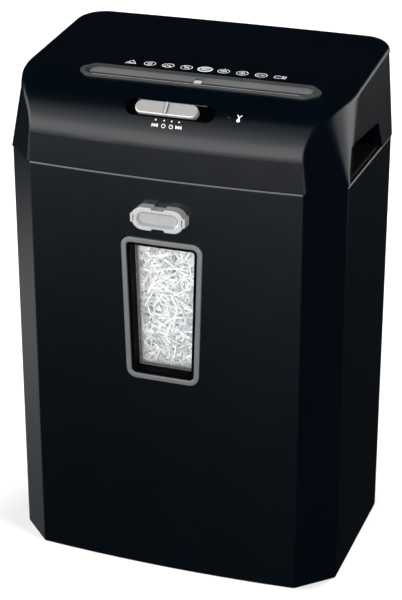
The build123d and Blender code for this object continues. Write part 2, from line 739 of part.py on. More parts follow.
def make_head_base():
    plate = Pos(0, 0, SEAM) * extrude(outline(COVER_WALL + 4 * SEAT_GAP), amount=BASE_THICKNESS)
    outer = BIN_WALL + SKIRT_GAP
    skirt = extrude(outline(outer), amount=SKIRT_DEPTH)
    skirt -= extrude(outline(outer + SKIRT_WALL), amount=SKIRT_DEPTH)
    base = plate + Pos(0, 0, SEAM - SKIRT_DEPTH) * skirt
    margin = SPACER_RADIUS + ROD_RADIUS
    base -= block(
        LEFT_PLATE + BUSH_FLANGE_THICKNESS,
        RIGHT_PLATE - BUSH_FLANGE_THICKNESS,
        FRONT_SHAFT_Y - margin,
        REAR_SHAFT_Y + margin,
        SEAM - CUT_CLEAR,
        BASE_TOP + CUT_CLEAR,
    )
    reach = TAB_WIDTH / 2 + SKIRT_GAP
    gap_front = TAB_FACE - SKIRT_GAP
    base -= block(TAB_X - reach, TAB_X + reach, gap_front, REAR_FLAT, SEAM - TAB_ROOT, BASE_TOP + CUT_CLEAR)
    for place in SCREW_PLACES:
        hole = extrude(Circle(SCREW_RADIUS), amount=BASE_THICKNESS + 2 * CUT_CLEAR)
        base -= Pos(*place, SEAM - CUT_CLEAR) * hole
    can = bar(LEFT_PLATE, LEFT_PLATE + MOTOR_LENGTH, MOTOR_AXIS, MOTOR_RADIUS + SEAT_GAP)
    for share in (1, 2):
        x = LEFT_PLATE + share * MOTOR_LENGTH / 3
        y = MOTOR_AXIS[0]
        saddle = block(
            x - BASE_THICKNESS,
            x + BASE_THICKNESS,
            y - SADDLE_HALF,
            y + SADDLE_HALF,
            BASE_TOP - MERGE,
            MOTOR_AXIS[1] - MOTOR_RADIUS / 2,
        )
        base += saddle - can
    post = Pos(0, 0, BASE_TOP - MERGE) * extrude(Circle(BOSS_OUTER), amount=BOARD_RISE + MERGE)
    for place in board_corners():
        base += Pos(*place, 0) * post
    return base


def make_hand_cup(side):
    low, high = BASE_TOP, SEAM + HOLD_HEIGHT
    outer = block(
        HALF - CUP_DEPTH - CUP_WALL,
        HALF - HOLD_FLANGE - SEAT_GAP,
        HOLD_FRONT - CUP_WALL,
        HOLD_REAR + CUP_WALL,
        low,
        high + CUP_WALL,
    )
    cup = outer - block(HALF - CUP_DEPTH, HALF, HOLD_FRONT, HOLD_REAR, low - CUT_CLEAR, high)
    return cup if side > 0 else mirror(cup, Plane.YZ)


def make_head_screws():
    screw = Pos(0, 0, SEAM) * extrude(Circle(SCREW_RADIUS), amount=BASE_THICKNESS + SCREW_BITE)
    screw += Pos(0, 0, SEAM - SCREW_HEAD_HEIGHT) * extrude(Circle(SCREW_HEAD), amount=SCREW_HEAD_HEIGHT)
    return [Pos(*place, 0) * screw for place in SCREW_PLACES]


def make_cord_gland():
    wall = facing_front(GLAND_X, REAR_FLAT + GLAND_PROUD, SEAM + GLAND_Z)
    flange = slab(wall, Circle(GLAND_FLANGE), 0, 2 * GLAND_PROUD) - HEAD
    sleeve = slab(wall, Circle(GLAND_RADIUS - SEAT_GAP), 0, GLAND_PROUD + 3 * COVER_WALL)
    return flange + sleeve - slab(wall, Circle(GLAND_BORE), -CUT_CLEAR, 5 * COVER_WALL)


# Throat
def make_throat_bezel():
    ring = slab(THROAT, hexagon(), -BEZEL_PROUD, BEZEL_PROUD)
    ring = chamfer(ring.faces().sort_by(Axis.Z)[-1].edges(), BEZEL_BEVEL)
    ring -= HEAD
    collar = slab(THROAT, hexagon(BEZEL_FLANGE + SEAT_GAP), -COLLAR_DEPTH, BEZEL_PROUD / 2)
    return ring + collar - slab(THROAT, hexagon(BEZEL_RIM), -2 * COLLAR_DEPTH, 2 * COLLAR_DEPTH)


def throat_side(x):
    """Plane across the throat at X = x, drawn up the slope and square to the top."""
    return Plane(origin=(x, THROAT.origin.Y, THROAT.origin.Z), x_dir=THROAT.y_dir, z_dir=(1, 0, 0))


def make_feed_guide():
    rear = THROAT_WIDTH / 2
    front = rear - GUIDE_RUN
    lip = front + LIP_BACK
    low = -GUIDE_TOP - GUIDE_DROP
    face = area(
        (rear, -GUIDE_TOP),
        (front, low),
        (front, low - GUIDE_EDGE),
        (lip, low - GUIDE_THICKNESS),
        (lip, -GUIDE_LIP),
        (lip + GUIDE_THICKNESS, -GUIDE_LIP),
        (lip + GUIDE_THICKNESS, low - GUIDE_THICKNESS),
        (rear, -GUIDE_TOP - GUIDE_THICKNESS),
    )
    face = fillet(face.vertices().sort_by(Axis.X)[:2], GUIDE_ROUND)
    reach = THROAT_LENGTH / 2
    guide = extrude(throat_side(THROAT_X - reach) * face, amount=2 * reach)
    guide &= slab(THROAT, hexagon(BEZEL_RIM), -2 * GUIDE_LIP, GUIDE_LIP)
    half = SENSOR_WIDTH / 2 + SENSOR_SLOT_GAP
    near, far = front - CUT_CLEAR, front + SENSOR_SLOT_RUN
    cut = area((near, 0), (far, 0), (far, -2 * GUIDE_LIP), (near, -2 * GUIDE_LIP))
    return guide - extrude(throat_side(SENSOR_X - half) * cut, amount=2 * half)


def make_feed_funnel():
    rear_foot, front_foot = NIP_Y + PAPER_GAP / 2, NIP_Y - PAPER_GAP / 2
    low, high = SEAM + FUNNEL_FOOT, SEAM + FUNNEL_TOP
    rear_top = THROAT.from_local_coords((0, THROAT_WIDTH / 2 - GUIDE_RUN + LIP_BACK, -GUIDE_LIP))
    rear_high = rear_top.Z - SLIDE_GAP
    rear_lean = rear_top.Y
    front_lean = THROAT.from_local_coords((0, -THROAT_WIDTH / 2, -COLLAR_DEPTH)).Y
    x0, x1 = LEFT_PLATE + SLIDE_GAP, RIGHT_PLATE - SLIDE_GAP
    rear = profile_bar(
        x0,
        x1,
        (rear_foot, low),
        (rear_foot + FUNNEL_WALL, low),
        (rear_lean + FUNNEL_WALL, rear_high),
        (rear_lean, rear_high),
    )
    front = profile_bar(
        x0,
        x1,
        (front_foot, low),
        (front_foot - FUNNEL_WALL, low),
        (front_lean - FUNNEL_WALL, high),
        (front_lean, high),
    )
    y0, y1 = front_lean - FUNNEL_WALL, rear_lean + FUNNEL_WALL
    seat = SEAM + PLATE_TOP
    left = block(LEFT_OUTER, x0 + FUNNEL_WALL, y0, y1, seat, rear_high)
    right = block(x1 - FUNNEL_WALL, RIGHT_OUTER, y0, y1, seat, rear_high)
    half = SENSOR_WIDTH / 2 + SENSOR_SLOT_GAP
    funnel = rear + front + left + right
    slot_foot = low + FUNNEL_WALL
    funnel -= block(SENSOR_X - half, SENSOR_X + half, y0 + 2 * FUNNEL_WALL, y1, slot_foot, high)
    funnel -= block(SENSOR_X - half, SENSOR_X + half, y0, NIP_Y, slot_foot, rear_high - FUNNEL_WALL)
    shelf_top = SENSOR_AXIS[1] - 2 * SENSOR_HUB
    back = SENSOR_AXIS[0] + SENSOR_TAIL + 4 * SENSOR_HUB
    ear_low, ear_high = shelf_top - FUNNEL_WALL, rear_high - FUNNEL_WALL
    wall_lean = (rear_lean - rear_foot) / (rear_high - low)
    wall_low, wall_high = (rear_foot + FUNNEL_WALL / 2 + wall_lean * (z - low) for z in (ear_low, ear_high))
    for end in (-1, 1):
        inner = SENSOR_X + end * half
        outer = inner + end * FUNNEL_WALL
        ear = profile_bar(
            min(inner, outer),
            max(inner, outer),
            (wall_low, ear_low),
            (back, ear_low),
            (back, shelf_top),
            (SENSOR_AXIS[0] + SENSOR_HUB, shelf_top),
            (SENSOR_AXIS[0] + SENSOR_HUB, SENSOR_AXIS[1] + SENSOR_HUB),
            (SENSOR_AXIS[0] - SENSOR_HUB, SENSOR_AXIS[1] + SENSOR_HUB),
            (wall_high, ear_high),
        )
        funnel += ear - bar(SENSOR_X - 4 * half, SENSOR_X + 4 * half, SENSOR_AXIS, SENSOR_PIN)
    shelf_front = SENSOR_AXIS[0] + SENSOR_TAIL
    funnel += block(SENSOR_X - half, SENSOR_X + half, shelf_front, back, shelf_top - FUNNEL_WALL, shelf_top)
    return funnel


# Paper sensor
def limb(start, end, width):
    """Bar with rounded ends between two points of a sketch."""
    run, rise = end[0] - start[0], end[1] - start[1]
    middle = Pos((start[0] + end[0]) / 2, (start[1] + end[1]) / 2)
    return middle * Rot(0, 0, degrees(atan2(rise, run))) * SlotCenterToCenter(hypot(run, rise), width)


def make_sensor_lever():
    half = SENSOR_WIDTH / 2
    tail = SENSOR_TAIL - SENSOR_ARM / 2
    points = [
        (tail * cos(radians(SENSOR_REST)), tail * sin(radians(SENSOR_REST))),
        (0, 0),
        (-SENSOR_BEND, SENSOR_RISE),
        (-SENSOR_EDGE, SENSOR_RISE),
        (-SENSOR_REACH, -SENSOR_SINK),
    ]
    face = Circle(SENSOR_HUB)
    for start, end in zip(points, points[1:]):
        face += limb(start, end, SENSOR_ARM)
    lever = extrude(across(SENSOR_X - half, *SENSOR_AXIS) * face, amount=SENSOR_WIDTH)
    return lever - bar(SENSOR_X - SENSOR_WIDTH, SENSOR_X + SENSOR_WIDTH, SENSOR_AXIS, SENSOR_PIN + RUN_GAP)


def make_sensor_pin():
    half = SENSOR_WIDTH / 2 + SENSOR_SLOT_GAP + FUNNEL_WALL
    return bar(SENSOR_X - half, SENSOR_X + half, SENSOR_AXIS, SENSOR_PIN)


def make_sensor_switch():
    half = SENSOR_WIDTH / 2 + SENSOR_SLOT_GAP + FUNNEL_WALL
    foot = SENSOR_AXIS[1] - 2 * SENSOR_HUB
    front = SENSOR_AXIS[0] + SENSOR_TAIL + SENSOR_SLOT_GAP
    back = SENSOR_AXIS[0] + SENSOR_TAIL + 4 * SENSOR_HUB
    return block(SENSOR_X - half, SENSOR_X + half, front, back, foot, SENSOR_AXIS[1] + SENSOR_HUB)


# Slide control
def make_slider_tray():
    tray = slab(SLIDER, tray_area(), -TRAY_FOOT, 2 * COVER_WALL)
    pocket = Pos(POCKET_SHIFT, 0) * SlotOverall(POCKET_LENGTH, POCKET_HEIGHT)
    tray -= slab(SLIDER, pocket, -TRAY_DEPTH, 4 * COVER_WALL)
    slot = Pos(POCKET_SHIFT, 0) * Rectangle(STEM_SLOT_LENGTH, STEM_SLOT_WIDTH)
    tray -= slab(SLIDER, slot, -2 * TRAY_FOOT, 0)
    return tray & HEAD


def make_slider_knob():
    knob = slab(SLIDER, SlotOverall(KNOB_LENGTH, KNOB_HEIGHT), SLIDE_GAP - TRAY_DEPTH, KNOB_PROUD)
    top = knob.faces().sort_by(Axis(SLIDER.origin, SLIDER.z_dir))[-1]
    knob = fillet(top.edges(), KNOB_EDGE)
    rib = RectangleRounded(RIB_WIDTH, KNOB_HEIGHT - KNOB_EDGE, RIB_WIDTH / 3)
    knob += slab(SLIDER, rib, 0, KNOB_PROUD + RIB_PROUD)
    stem = Rectangle(STEM_LENGTH, STEM_WIDTH)
    return knob + slab(SLIDER, stem, -TRAY_FOOT - SWITCH_DEPTH / 3, 0)


def make_mode_switch():
    body = Pos(POCKET_SHIFT, 0) * Rectangle(SWITCH_LENGTH, SWITCH_WIDTH)
    switch = slab(SLIDER, body, -TRAY_FOOT - SWITCH_DEPTH, -TRAY_FOOT)
    slot = Pos(POCKET_SHIFT, 0) * Rectangle(STEM_SLOT_LENGTH, STEM_SLOT_WIDTH)
    return switch - slab(SLIDER, slot, -TRAY_FOOT - SWITCH_DEPTH / 2, 0)


def make_indicator_lens():
    plane = hood_plane(LENS_X, SLIDER_TILT)
    lens = slab(plane, Circle(LENS_RADIUS), -2 * COVER_WALL, LENS_PROUD)
    return fillet(lens.edges().sort_by(Axis(plane.origin, plane.z_dir))[-1], LENS_PROUD)


# Cutters
def disc_outline():
    """Cutter disc: a round rim with hooked teeth, each with a gullet behind its point."""
    pitch = 2 * pi / DISC_TEETH
    rise, gullet, hook = pitch * TOOTH_RISE, pitch * TOOTH_GULLET, pitch * TOOTH_HOOK

    def at(radius, angle):
        return (radius * cos(angle), radius * sin(angle))

    edges = []
    for i in range(DISC_TEETH):
        tip = i * pitch
        rim_start, rim_end = tip + gullet, tip + pitch - rise
        hollow = at((DISC_GULLET + DISC_RIM) / 2 - HOLLOW_DIP, tip + (gullet + hook) / 2)
        rim_middle = at(DISC_RIM, (rim_start + rim_end) / 2)
        edges += [
            Line(at(DISC_TIP, tip), at(DISC_GULLET, tip + hook)),
            ThreePointArc(at(DISC_GULLET, tip + hook), hollow, at(DISC_RIM, rim_start)),
            ThreePointArc(at(DISC_RIM, rim_start), rim_middle, at(DISC_RIM, rim_end)),
            Line(at(DISC_RIM, rim_end), at(DISC_TIP, tip + pitch)),
        ]
    return make_face(edges)


def hexagon_bar(gap=0.0):
    """Section of the cutter shafts."""
    return RegularPolygon(HEX_FLATS / 2 + gap, 6, major_radius=False)


def make_discs(axis, start, count, twist):
    """Row of cutter discs, each turned a step from the last so the teeth run in a spiral."""
    teeth, bore = disc_outline(), hexagon_bar(HEX_GAP)
    discs = []
    for i in range(count):
        face = Rot(0, 0, twist * i) * teeth - bore
        discs.append(extrude(across(start + i * DISC_PITCH, *axis) * face, amount=DISC_THICKNESS))
    return discs


def make_spacers(axis, spans):
    """Rings between the discs."""
    face = Circle(SPACER_RADIUS) - hexagon_bar(HEX_GAP)
    return [extrude(across(x0, *axis) * face, amount=x1 - x0) for x0, x1 in spans]


def front_spacer_spans():
    starts = [STACK_START + DISC_THICKNESS + i * DISC_PITCH for i in range(FRONT_DISCS - 1)]
    return [(x, x + DISC_PITCH - DISC_THICKNESS) for x in starts]


def rear_spacer_spans():
    gap = DISC_PITCH - DISC_THICKNESS
    starts = [REAR_START + DISC_THICKNESS + i * DISC_PITCH for i in range(FRONT_DISCS - 2)]
    between = [(x, x + gap) for x in starts]
    return [(STACK_START, REAR_START)] + between + [(starts[-1] + DISC_PITCH, STACK_END)]


def make_cutter_shaft(axis, left):
    shaft = extrude(across(STACK_START, *axis) * hexagon_bar(), amount=STACK_LENGTH)
    shaft += bar(left, STACK_START, axis, JOURNAL_RADIUS)
    return shaft + bar(STACK_END, RIGHT_OUTER + PLATE_CLEAR, axis, JOURNAL_RADIUS)


def make_strippers(axis, rods, side, spans):
    """Combs that reach between the discs and peel the strips off."""
    edge = ROD_RADIUS + STRIPPER_EDGE
    near, far = axis[0] + side * ROD_RADIUS, axis[0] + side * (STRIPPER_REACH + edge)
    face = Pos((near + far) / 2, axis[1]) * Rectangle(abs(far - near), 2 * (ROD_SPREAD + edge))
    face -= Pos(*axis) * Circle(SPACER_RADIUS + STRIPPER_GAP)
    for place in rods:
        face -= Pos(*place) * Circle(ROD_RADIUS)
    return [extrude(across(x0 + STRIPPER_INSET) * face, amount=STRIPPER_THICKNESS) for x0, x1 in spans]


def make_tie_rods():
    ends = LEFT_OUTER - BUSH_FLANGE_THICKNESS, RIGHT_OUTER + BUSH_FLANGE_THICKNESS
    return [bar(*ends, place, ROD_RADIUS) for place in FRONT_RODS + REAR_RODS]


def make_shaft_bushes():
    bushes = []
    for axis in (FRONT_AXIS, REAR_AXIS):
        for face, out in ((LEFT_PLATE, -1), (RIGHT_PLATE, 1)):
            inner = face - out * BUSH_FLANGE_THICKNESS
            outer = face + out * (PLATE_THICKNESS + BUSH_FLANGE_THICKNESS)
            bush = bar(min(face, inner), max(face, inner), axis, BUSH_FLANGE)
            bush += bar(min(face, outer), max(face, outer), axis, BUSH_RADIUS)
            bore = bar(min(inner, outer), max(inner, outer), axis, JOURNAL_RADIUS + RUN_GAP)
            bushes.append(bush - bore)
    return bushes


# Side plates
def plate_holes(face):
    """Holes for the bushes and the tie rods."""
    for axis in (FRONT_AXIS, REAR_AXIS):
        face -= Pos(*axis) * Circle(BUSH_RADIUS)
    for place in FRONT_RODS + REAR_RODS:
        face -= Pos(*place) * Circle(ROD_RADIUS)
    return face


def angle_foot(x, front, back):
    """Angle that ties a side plate, on its right face, to the base."""
    foot = block(x, x + PLATE_FOOT, front, back, BASE_TOP, BASE_TOP + PLATE_THICKNESS)
    return foot + block(x, x + PLATE_THICKNESS, front, back, BASE_TOP, BASE_TOP + ANGLE_HEIGHT)


def make_left_side_plate():
    face = area(
        (PLATE_FRONT, BASE_TOP),
        (PLATE_FRONT, SEAM + PLATE_SHOULDER),
        (PLATE_FRONT + PLATE_TOP - PLATE_SHOULDER, SEAM + PLATE_TOP),
        (PLATE_BACK, SEAM + PLATE_TOP),
        (PLATE_BACK + PLATE_TALL - PLATE_TOP, SEAM + PLATE_TALL),
        (PLATE_REAR, SEAM + PLATE_TALL),
        (PLATE_REAR, BASE_TOP),
    )
    face = plate_holes(face)
    for axis in (SECOND_AXIS, FIRST_AXIS):
        face -= Pos(*axis) * Circle(AXLE_RADIUS)
    for place in POST_PLACES:
        face -= Pos(*place) * Circle(POST_RADIUS)
    face -= Pos(*MOTOR_AXIS) * Circle(BOSS_RADIUS + SEAT_GAP)
    plate = extrude(across(LEFT_OUTER) * face, amount=PLATE_THICKNESS)
    return [plate, angle_foot(LEFT_PLATE, PLATE_BACK, MOTOR_AXIS[0] - BELL_RADIUS)]


def make_right_side_plate():
    face = area(
        (PLATE_FRONT, BASE_TOP),
        (PLATE_FRONT, SEAM + PLATE_SHOULDER),
        (PLATE_FRONT + PLATE_TOP - PLATE_SHOULDER, SEAM + PLATE_TOP),
        (PLATE_BACK, SEAM + PLATE_TOP),
        (PLATE_BACK, BASE_TOP),
    )
    plate = extrude(across(RIGHT_PLATE) * plate_holes(face), amount=PLATE_THICKNESS)
    return [plate, angle_foot(RIGHT_OUTER, PLATE_FRONT, PLATE_BACK)]


# Gears
def gear_face(teeth, module, phase):
    """Spur gear section with involute flanks, one tooth centred on the phase angle."""
    pitch_radius = teeth * module / 2
    base = pitch_radius * cos(radians(PRESSURE))
    tip = pitch_radius + ADDENDUM * module
    root = pitch_radius - DEDENDUM * module
    spread = tan(radians(PRESSURE)) - radians(PRESSURE)
    half = (pi * module / 2 - BACKLASH) / (2 * pitch_radius)

    def flank(radius):
        lean = acos(min(1.0, base / radius))
        return half + spread - (tan(lean) - lean)

    def at(radius, angle):
        return (radius * cos(angle), radius * sin(angle))

    low = max(base, root + ROOT_STEP * module)
    middle = (low + tip) / 2
    step = 2 * pi / teeth
    edges = []
    for i in range(teeth):
        c = phase + i * step
        rise = [at(low, c - flank(low)), at(middle, c - flank(middle)), at(tip, c - flank(tip))]
        fall = [at(tip, c + flank(tip)), at(middle, c + flank(middle)), at(low, c + flank(low))]
        foot = at(root, c + flank(low))
        floor = at(root, c + step / 2)
        next_foot = at(root, c + step - flank(low))
        edges += [ThreePointArc(*rise), Line(rise[2], fall[0]), ThreePointArc(*fall)]
        edges += [Line(fall[2], foot), ThreePointArc(foot, floor, next_foot)]
        edges.append(Line(next_foot, at(low, c + step - flank(low))))
    return make_face(edges)


def mesh_phase(teeth, phase, axis, other_teeth, other_axis):
    """Phase of a second gear whose tooth gap meets a tooth of the first."""
    line = atan2(other_axis[1] - axis[1], other_axis[0] - axis[0])
    turn = teeth * (line - phase) / (2 * pi)
    return line + pi - (0.5 - turn) * 2 * pi / other_teeth


def wheel(x0, x1, axis, teeth, module, phase, hub):
    """Large gear with its web thinned on both faces."""
    gear = extrude(across(x0, *axis) * gear_face(teeth, module, phase), amount=x1 - x0)
    root = (teeth / 2 - DEDENDUM) * module
    recess = Circle(root - RIM_DEPTH) - Circle(hub + HUB_WALL)
    gear -= extrude(across(x0, *axis) * recess, amount=WEB_DEPTH)
    return gear - extrude(across(x1 - WEB_DEPTH, *axis) * recess, amount=WEB_DEPTH)


def pinion(x0, x1, axis, teeth, module, phase):
    return extrude(across(x0, *axis) * gear_face(teeth, module, phase), amount=x1 - x0)


def make_rear_sync_gear():
    gear = pinion(SYNC_START, SYNC_END, REAR_AXIS, SYNC_TEETH, SYNC_MODULE, 0.0)
    return gear - bar(SYNC_START, SYNC_END, REAR_AXIS, JOURNAL_RADIUS)


def make_front_sync_gear():
    phase = mesh_phase(SYNC_TEETH, 0.0, REAR_AXIS, SYNC_TEETH, FRONT_AXIS)
    gear = pinion(SYNC_START, SYNC_END, FRONT_AXIS, SYNC_TEETH, SYNC_MODULE, phase)
    return gear - bar(SYNC_START, SYNC_END, FRONT_AXIS, JOURNAL_RADIUS)


def make_drive_gear():
    gear = wheel(DRIVE_START, DRIVE_END, REAR_AXIS, DRIVE_TEETH, DRIVE_MODULE, 0.0, JOURNAL_RADIUS)
    return gear - bar(DRIVE_START, DRIVE_END, REAR_AXIS, JOURNAL_RADIUS)


def make_second_gear():
    phase = mesh_phase(DRIVE_TEETH, 0.0, REAR_AXIS, PINION_TEETH, SECOND_AXIS)
    gear = pinion(DRIVE_START, DRIVE_END, SECOND_AXIS, PINION_TEETH, DRIVE_MODULE, phase)
    gear += wheel(FINE_START, FINE_END, SECOND_AXIS, SECOND_TEETH, FINE_MODULE, 0.0, AXLE_RADIUS)
    gear += bar(FINE_START, DRIVE_START, SECOND_AXIS, AXLE_RADIUS + HUB_WALL)
    return gear - bar(FINE_START, DRIVE_END, SECOND_AXIS, AXLE_RADIUS + RUN_GAP)


def make_first_gear():
    phase = mesh_phase(SECOND_TEETH, 0.0, SECOND_AXIS, PINION_TEETH, FIRST_AXIS)
    gear = pinion(FINE_START, FINE_END, FIRST_AXIS, PINION_TEETH, FINE_MODULE, phase)
    gear += wheel(SYNC_START, SYNC_END, FIRST_AXIS, FIRST_TEETH, FINE_MODULE, 0.0, AXLE_RADIUS)
    gear += bar(FINE_START, SYNC_END, FIRST_AXIS, PINION_HUB)
    return gear - bar(FINE_START, SYNC_END, FIRST_AXIS, AXLE_RADIUS + RUN_GAP)


def make_motor_pinion():
    phase = mesh_phase(FIRST_TEETH, 0.0, FIRST_AXIS, PINION_TEETH, MOTOR_AXIS)
    gear = pinion(SYNC_START, SYNC_END, MOTOR_AXIS, PINION_TEETH, FINE_MODULE, phase)
    return gear - bar(SYNC_START, SYNC_END, MOTOR_AXIS, MOTOR_SHAFT)


def make_gear_plate():
    places = POST_PLACES + [SECOND_AXIS, FIRST_AXIS]
    rounds = [Pos(*place) * Circle(POST_RADIUS + HUB_WALL) for place in places]
    face = make_hull([edge for circle in rounds for edge in circle.edges()])
    for place in POST_PLACES:
        face -= Pos(*place) * Circle(POST_RADIUS)
    for place in (SECOND_AXIS, FIRST_AXIS):
        face -= Pos(*place) * Circle(AXLE_RADIUS)
    return extrude(across(GEAR_PLATE - PLATE_THICKNESS) * face, amount=PLATE_THICKNESS)


def make_gear_axles():
    ends = GEAR_PLATE - PLATE_THICKNESS, LEFT_PLATE
    return [bar(*ends, axis, AXLE_RADIUS) for axis in (SECOND_AXIS, FIRST_AXIS)]


def make_gear_posts():
    posts = []
    for place in POST_PLACES:
        post = bar(GEAR_PLATE - PLATE_THICKNESS, LEFT_PLATE, place, POST_RADIUS)
        posts.append(post + bar(GEAR_PLATE, LEFT_OUTER, place, POST_RADIUS + POST_SHOULDER))
    return posts


# Motor
def make_motor_housing():
    right = LEFT_PLATE + MOTOR_LENGTH
    body = bar(LEFT_PLATE, right, MOTOR_AXIS, MOTOR_RADIUS)
    slot_middle = Pos(MOTOR_RADIUS, 0) * Rectangle(2 * MOTOR_SLOT_DEPTH, MOTOR_SLOT_WIDTH)
    for i in range(MOTOR_SLOTS):
        turn = Rot(0, 0, (i + 0.5) * 360 / MOTOR_SLOTS)
        plane = across(LEFT_PLATE + 2 * BELL_LENGTH, *MOTOR_AXIS)
        body -= extrude(plane * turn * slot_middle, amount=MOTOR_LENGTH - 4 * BELL_LENGTH)
    for x in (LEFT_PLATE, right - BELL_LENGTH):
        body += bar(x, x + BELL_LENGTH, MOTOR_AXIS, BELL_RADIUS)
    body += bar(LEFT_OUTER, LEFT_PLATE, MOTOR_AXIS, BOSS_RADIUS)
    body += bar(right, right + BELL_LENGTH / 2, MOTOR_AXIS, BOSS_RADIUS)
    return body - bar(LEFT_OUTER, right + BELL_LENGTH, MOTOR_AXIS, MOTOR_SHAFT + RUN_GAP)


def make_motor_shaft():
    return bar(SYNC_START - SHAFT_END, LEFT_PLATE + MOTOR_LENGTH + BELL_LENGTH, MOTOR_AXIS, MOTOR_SHAFT)


# Switch, board and its parts
def board_corners():
    """Posts under the control board."""
    dx, dy = BOARD_LENGTH / 2 - 2 * BOSS_OUTER, BOARD_WIDTH / 2 - 2 * BOSS_OUTER
    return [(BOARD_X + sx * dx, BOARD_Y + sy * dy) for sx in (-1, 1) for sy in (-1, 1)]


def make_interlock_switch():
    back = TAB_FACE - SKIRT_GAP - SEAT_GAP
    half = TAB_WIDTH / 2
    body = block(TAB_X - half, TAB_X + half, back - SWITCH_WIDTH, back, BASE_TOP, BASE_TOP + SWITCH_WIDTH)
    side, tip = PLUNGER_WIDTH / 2, back + SKIRT_GAP - SEAT_GAP
    low = BASE_TOP + PLUNGER_LOW
    return body + block(TAB_X - side, TAB_X + side, back - MERGE, tip, low, low + PLUNGER_HEIGHT)


def make_control_board():
    z = BASE_TOP + BOARD_RISE
    face = RectangleRounded(BOARD_LENGTH, BOARD_WIDTH, BOARD_THICKNESS)
    return Pos(BOARD_X, BOARD_Y, z) * extrude(face, amount=BOARD_THICKNESS)


def make_board_parts():
    z = BASE_TOP + BOARD_RISE + BOARD_THICKNESS
    seat = Pos(BOARD_X, BOARD_Y, z)
    relay = Pos(*RELAY_PLACE) * Rectangle(*RELAY_SIZE[:2])
    can = Pos(*CAPACITOR_PLACE) * Circle(CAPACITOR_RADIUS)
    plug = Pos(*PLUG_PLACE) * Rectangle(*PLUG_SIZE[:2])
    chip = Pos(*CHIP_PLACE) * Rectangle(*CHIP_SIZE[:2])
    sink = Pos(*SINK_PLACE) * Rectangle(*SINK_SIZE[:2])
    heights = (RELAY_SIZE[2], CAPACITOR_HEIGHT, PLUG_SIZE[2], CHIP_SIZE[2], SINK_SIZE[2])
    return [seat * extrude(face, amount=h) for face, h in zip((relay, can, plug, chip, sink), heights)]


NODES = {
    "bin_shell": make_bin_shell(),
    "window_frame": make_window_frame(),
    "window_well": make_window_well(),
    "window_pane": make_window_pane(),
    "front_grip": make_front_grip(),
    "grip_pad": make_grip_pad(),
    "head_cover": make_head_cover(),
    "head_base": make_head_base(),
    "left_hand_cup": make_hand_cup(-1),
    "right_hand_cup": make_hand_cup(1),
    "head_screws": make_head_screws(),
    "cord_gland": make_cord_gland(),
    "throat_bezel": make_throat_bezel(),
    "feed_guide": make_feed_guide(),
    "feed_funnel": make_feed_funnel(),
    "sensor_lever": make_sensor_lever(),
    "sensor_pin": make_sensor_pin(),
    "sensor_switch": make_sensor_switch(),
    "slider_tray": make_slider_tray(),
    "slider_knob": make_slider_knob(),
    "mode_switch": make_mode_switch(),
    "indicator_lens": make_indicator_lens(),
    "front_cutter_discs": make_discs(FRONT_AXIS, STACK_START, FRONT_DISCS, DISC_TWIST),
    "rear_cutter_discs": make_discs(REAR_AXIS, REAR_START, FRONT_DISCS - 1, -DISC_TWIST),
    "front_spacers": make_spacers(FRONT_AXIS, front_spacer_spans()),
    "rear_spacers": make_spacers(REAR_AXIS, rear_spacer_spans()),
    "front_cutter_shaft": make_cutter_shaft(FRONT_AXIS, SYNC_START - SHAFT_END),
    "rear_cutter_shaft": make_cutter_shaft(REAR_AXIS, DRIVE_START - SHAFT_END),
    "front_strippers": make_strippers(FRONT_AXIS, FRONT_RODS, -1, front_spacer_spans()),
    "rear_strippers": make_strippers(REAR_AXIS, REAR_RODS, 1, rear_spacer_spans()[1:-1]),
    "tie_rods": make_tie_rods(),
    "shaft_bushes": make_shaft_bushes(),
    "left_side_plate": make_left_side_plate(),
    "right_side_plate": make_right_side_plate(),
    "front_sync_gear": make_front_sync_gear(),
    "rear_sync_gear": make_rear_sync_gear(),
    "drive_gear": make_drive_gear(),
    "second_gear": make_second_gear(),
    "first_gear": make_first_gear(),
    "motor_pinion": make_motor_pinion(),
    "motor_shaft": make_motor_shaft(),
    "motor_housing": make_motor_housing(),
    "gear_plate": make_gear_plate(),
    "gear_axles": make_gear_axles(),
    "gear_posts": make_gear_posts(),
    "interlock_switch": make_interlock_switch(),
    "control_board": make_control_board(),
    "board_parts": make_board_parts(),
}

os.makedirs("parts", exist_ok=True)
for name, shape in NODES.items():
    if isinstance(shape, list):
        shape = Compound(children=[solid for item in shape for solid in item.solids()])
    export_step(shape, f"parts/{name}.step")
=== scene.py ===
"""Looks of the paper shredder: materials, printed symbols, shreds, floor, light and camera."""

import math
import random

import bpy
from mathutils import Matrix, Vector


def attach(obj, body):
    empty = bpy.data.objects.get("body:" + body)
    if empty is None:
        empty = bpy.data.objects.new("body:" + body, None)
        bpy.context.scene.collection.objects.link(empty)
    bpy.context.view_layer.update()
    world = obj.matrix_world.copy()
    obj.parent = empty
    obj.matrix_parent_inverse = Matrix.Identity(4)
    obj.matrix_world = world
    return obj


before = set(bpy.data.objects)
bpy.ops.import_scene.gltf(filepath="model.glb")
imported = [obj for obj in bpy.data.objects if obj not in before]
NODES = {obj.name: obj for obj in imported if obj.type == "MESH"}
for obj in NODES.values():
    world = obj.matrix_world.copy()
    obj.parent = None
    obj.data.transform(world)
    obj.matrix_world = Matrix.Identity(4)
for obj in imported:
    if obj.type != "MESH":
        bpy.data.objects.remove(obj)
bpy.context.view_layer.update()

# Sizes shared with the CAD frame, in metres
SEAM = 0.428
HALF = 0.1725
FRONT = 0.117
BOW = 0.006
BOW_HALF = 0.1385
BOW_RADIUS = (BOW_HALF**2 + BOW**2) / (2 * BOW)
BOW_CENTRE = BOW_RADIUS - FRONT
FLAT_FRONT = FRONT - BOW
CORNER_CUT = HALF - BOW_HALF
TOP = 0.0861
SLOPE = math.radians(5.5)
HOOD_WALL = 0.030
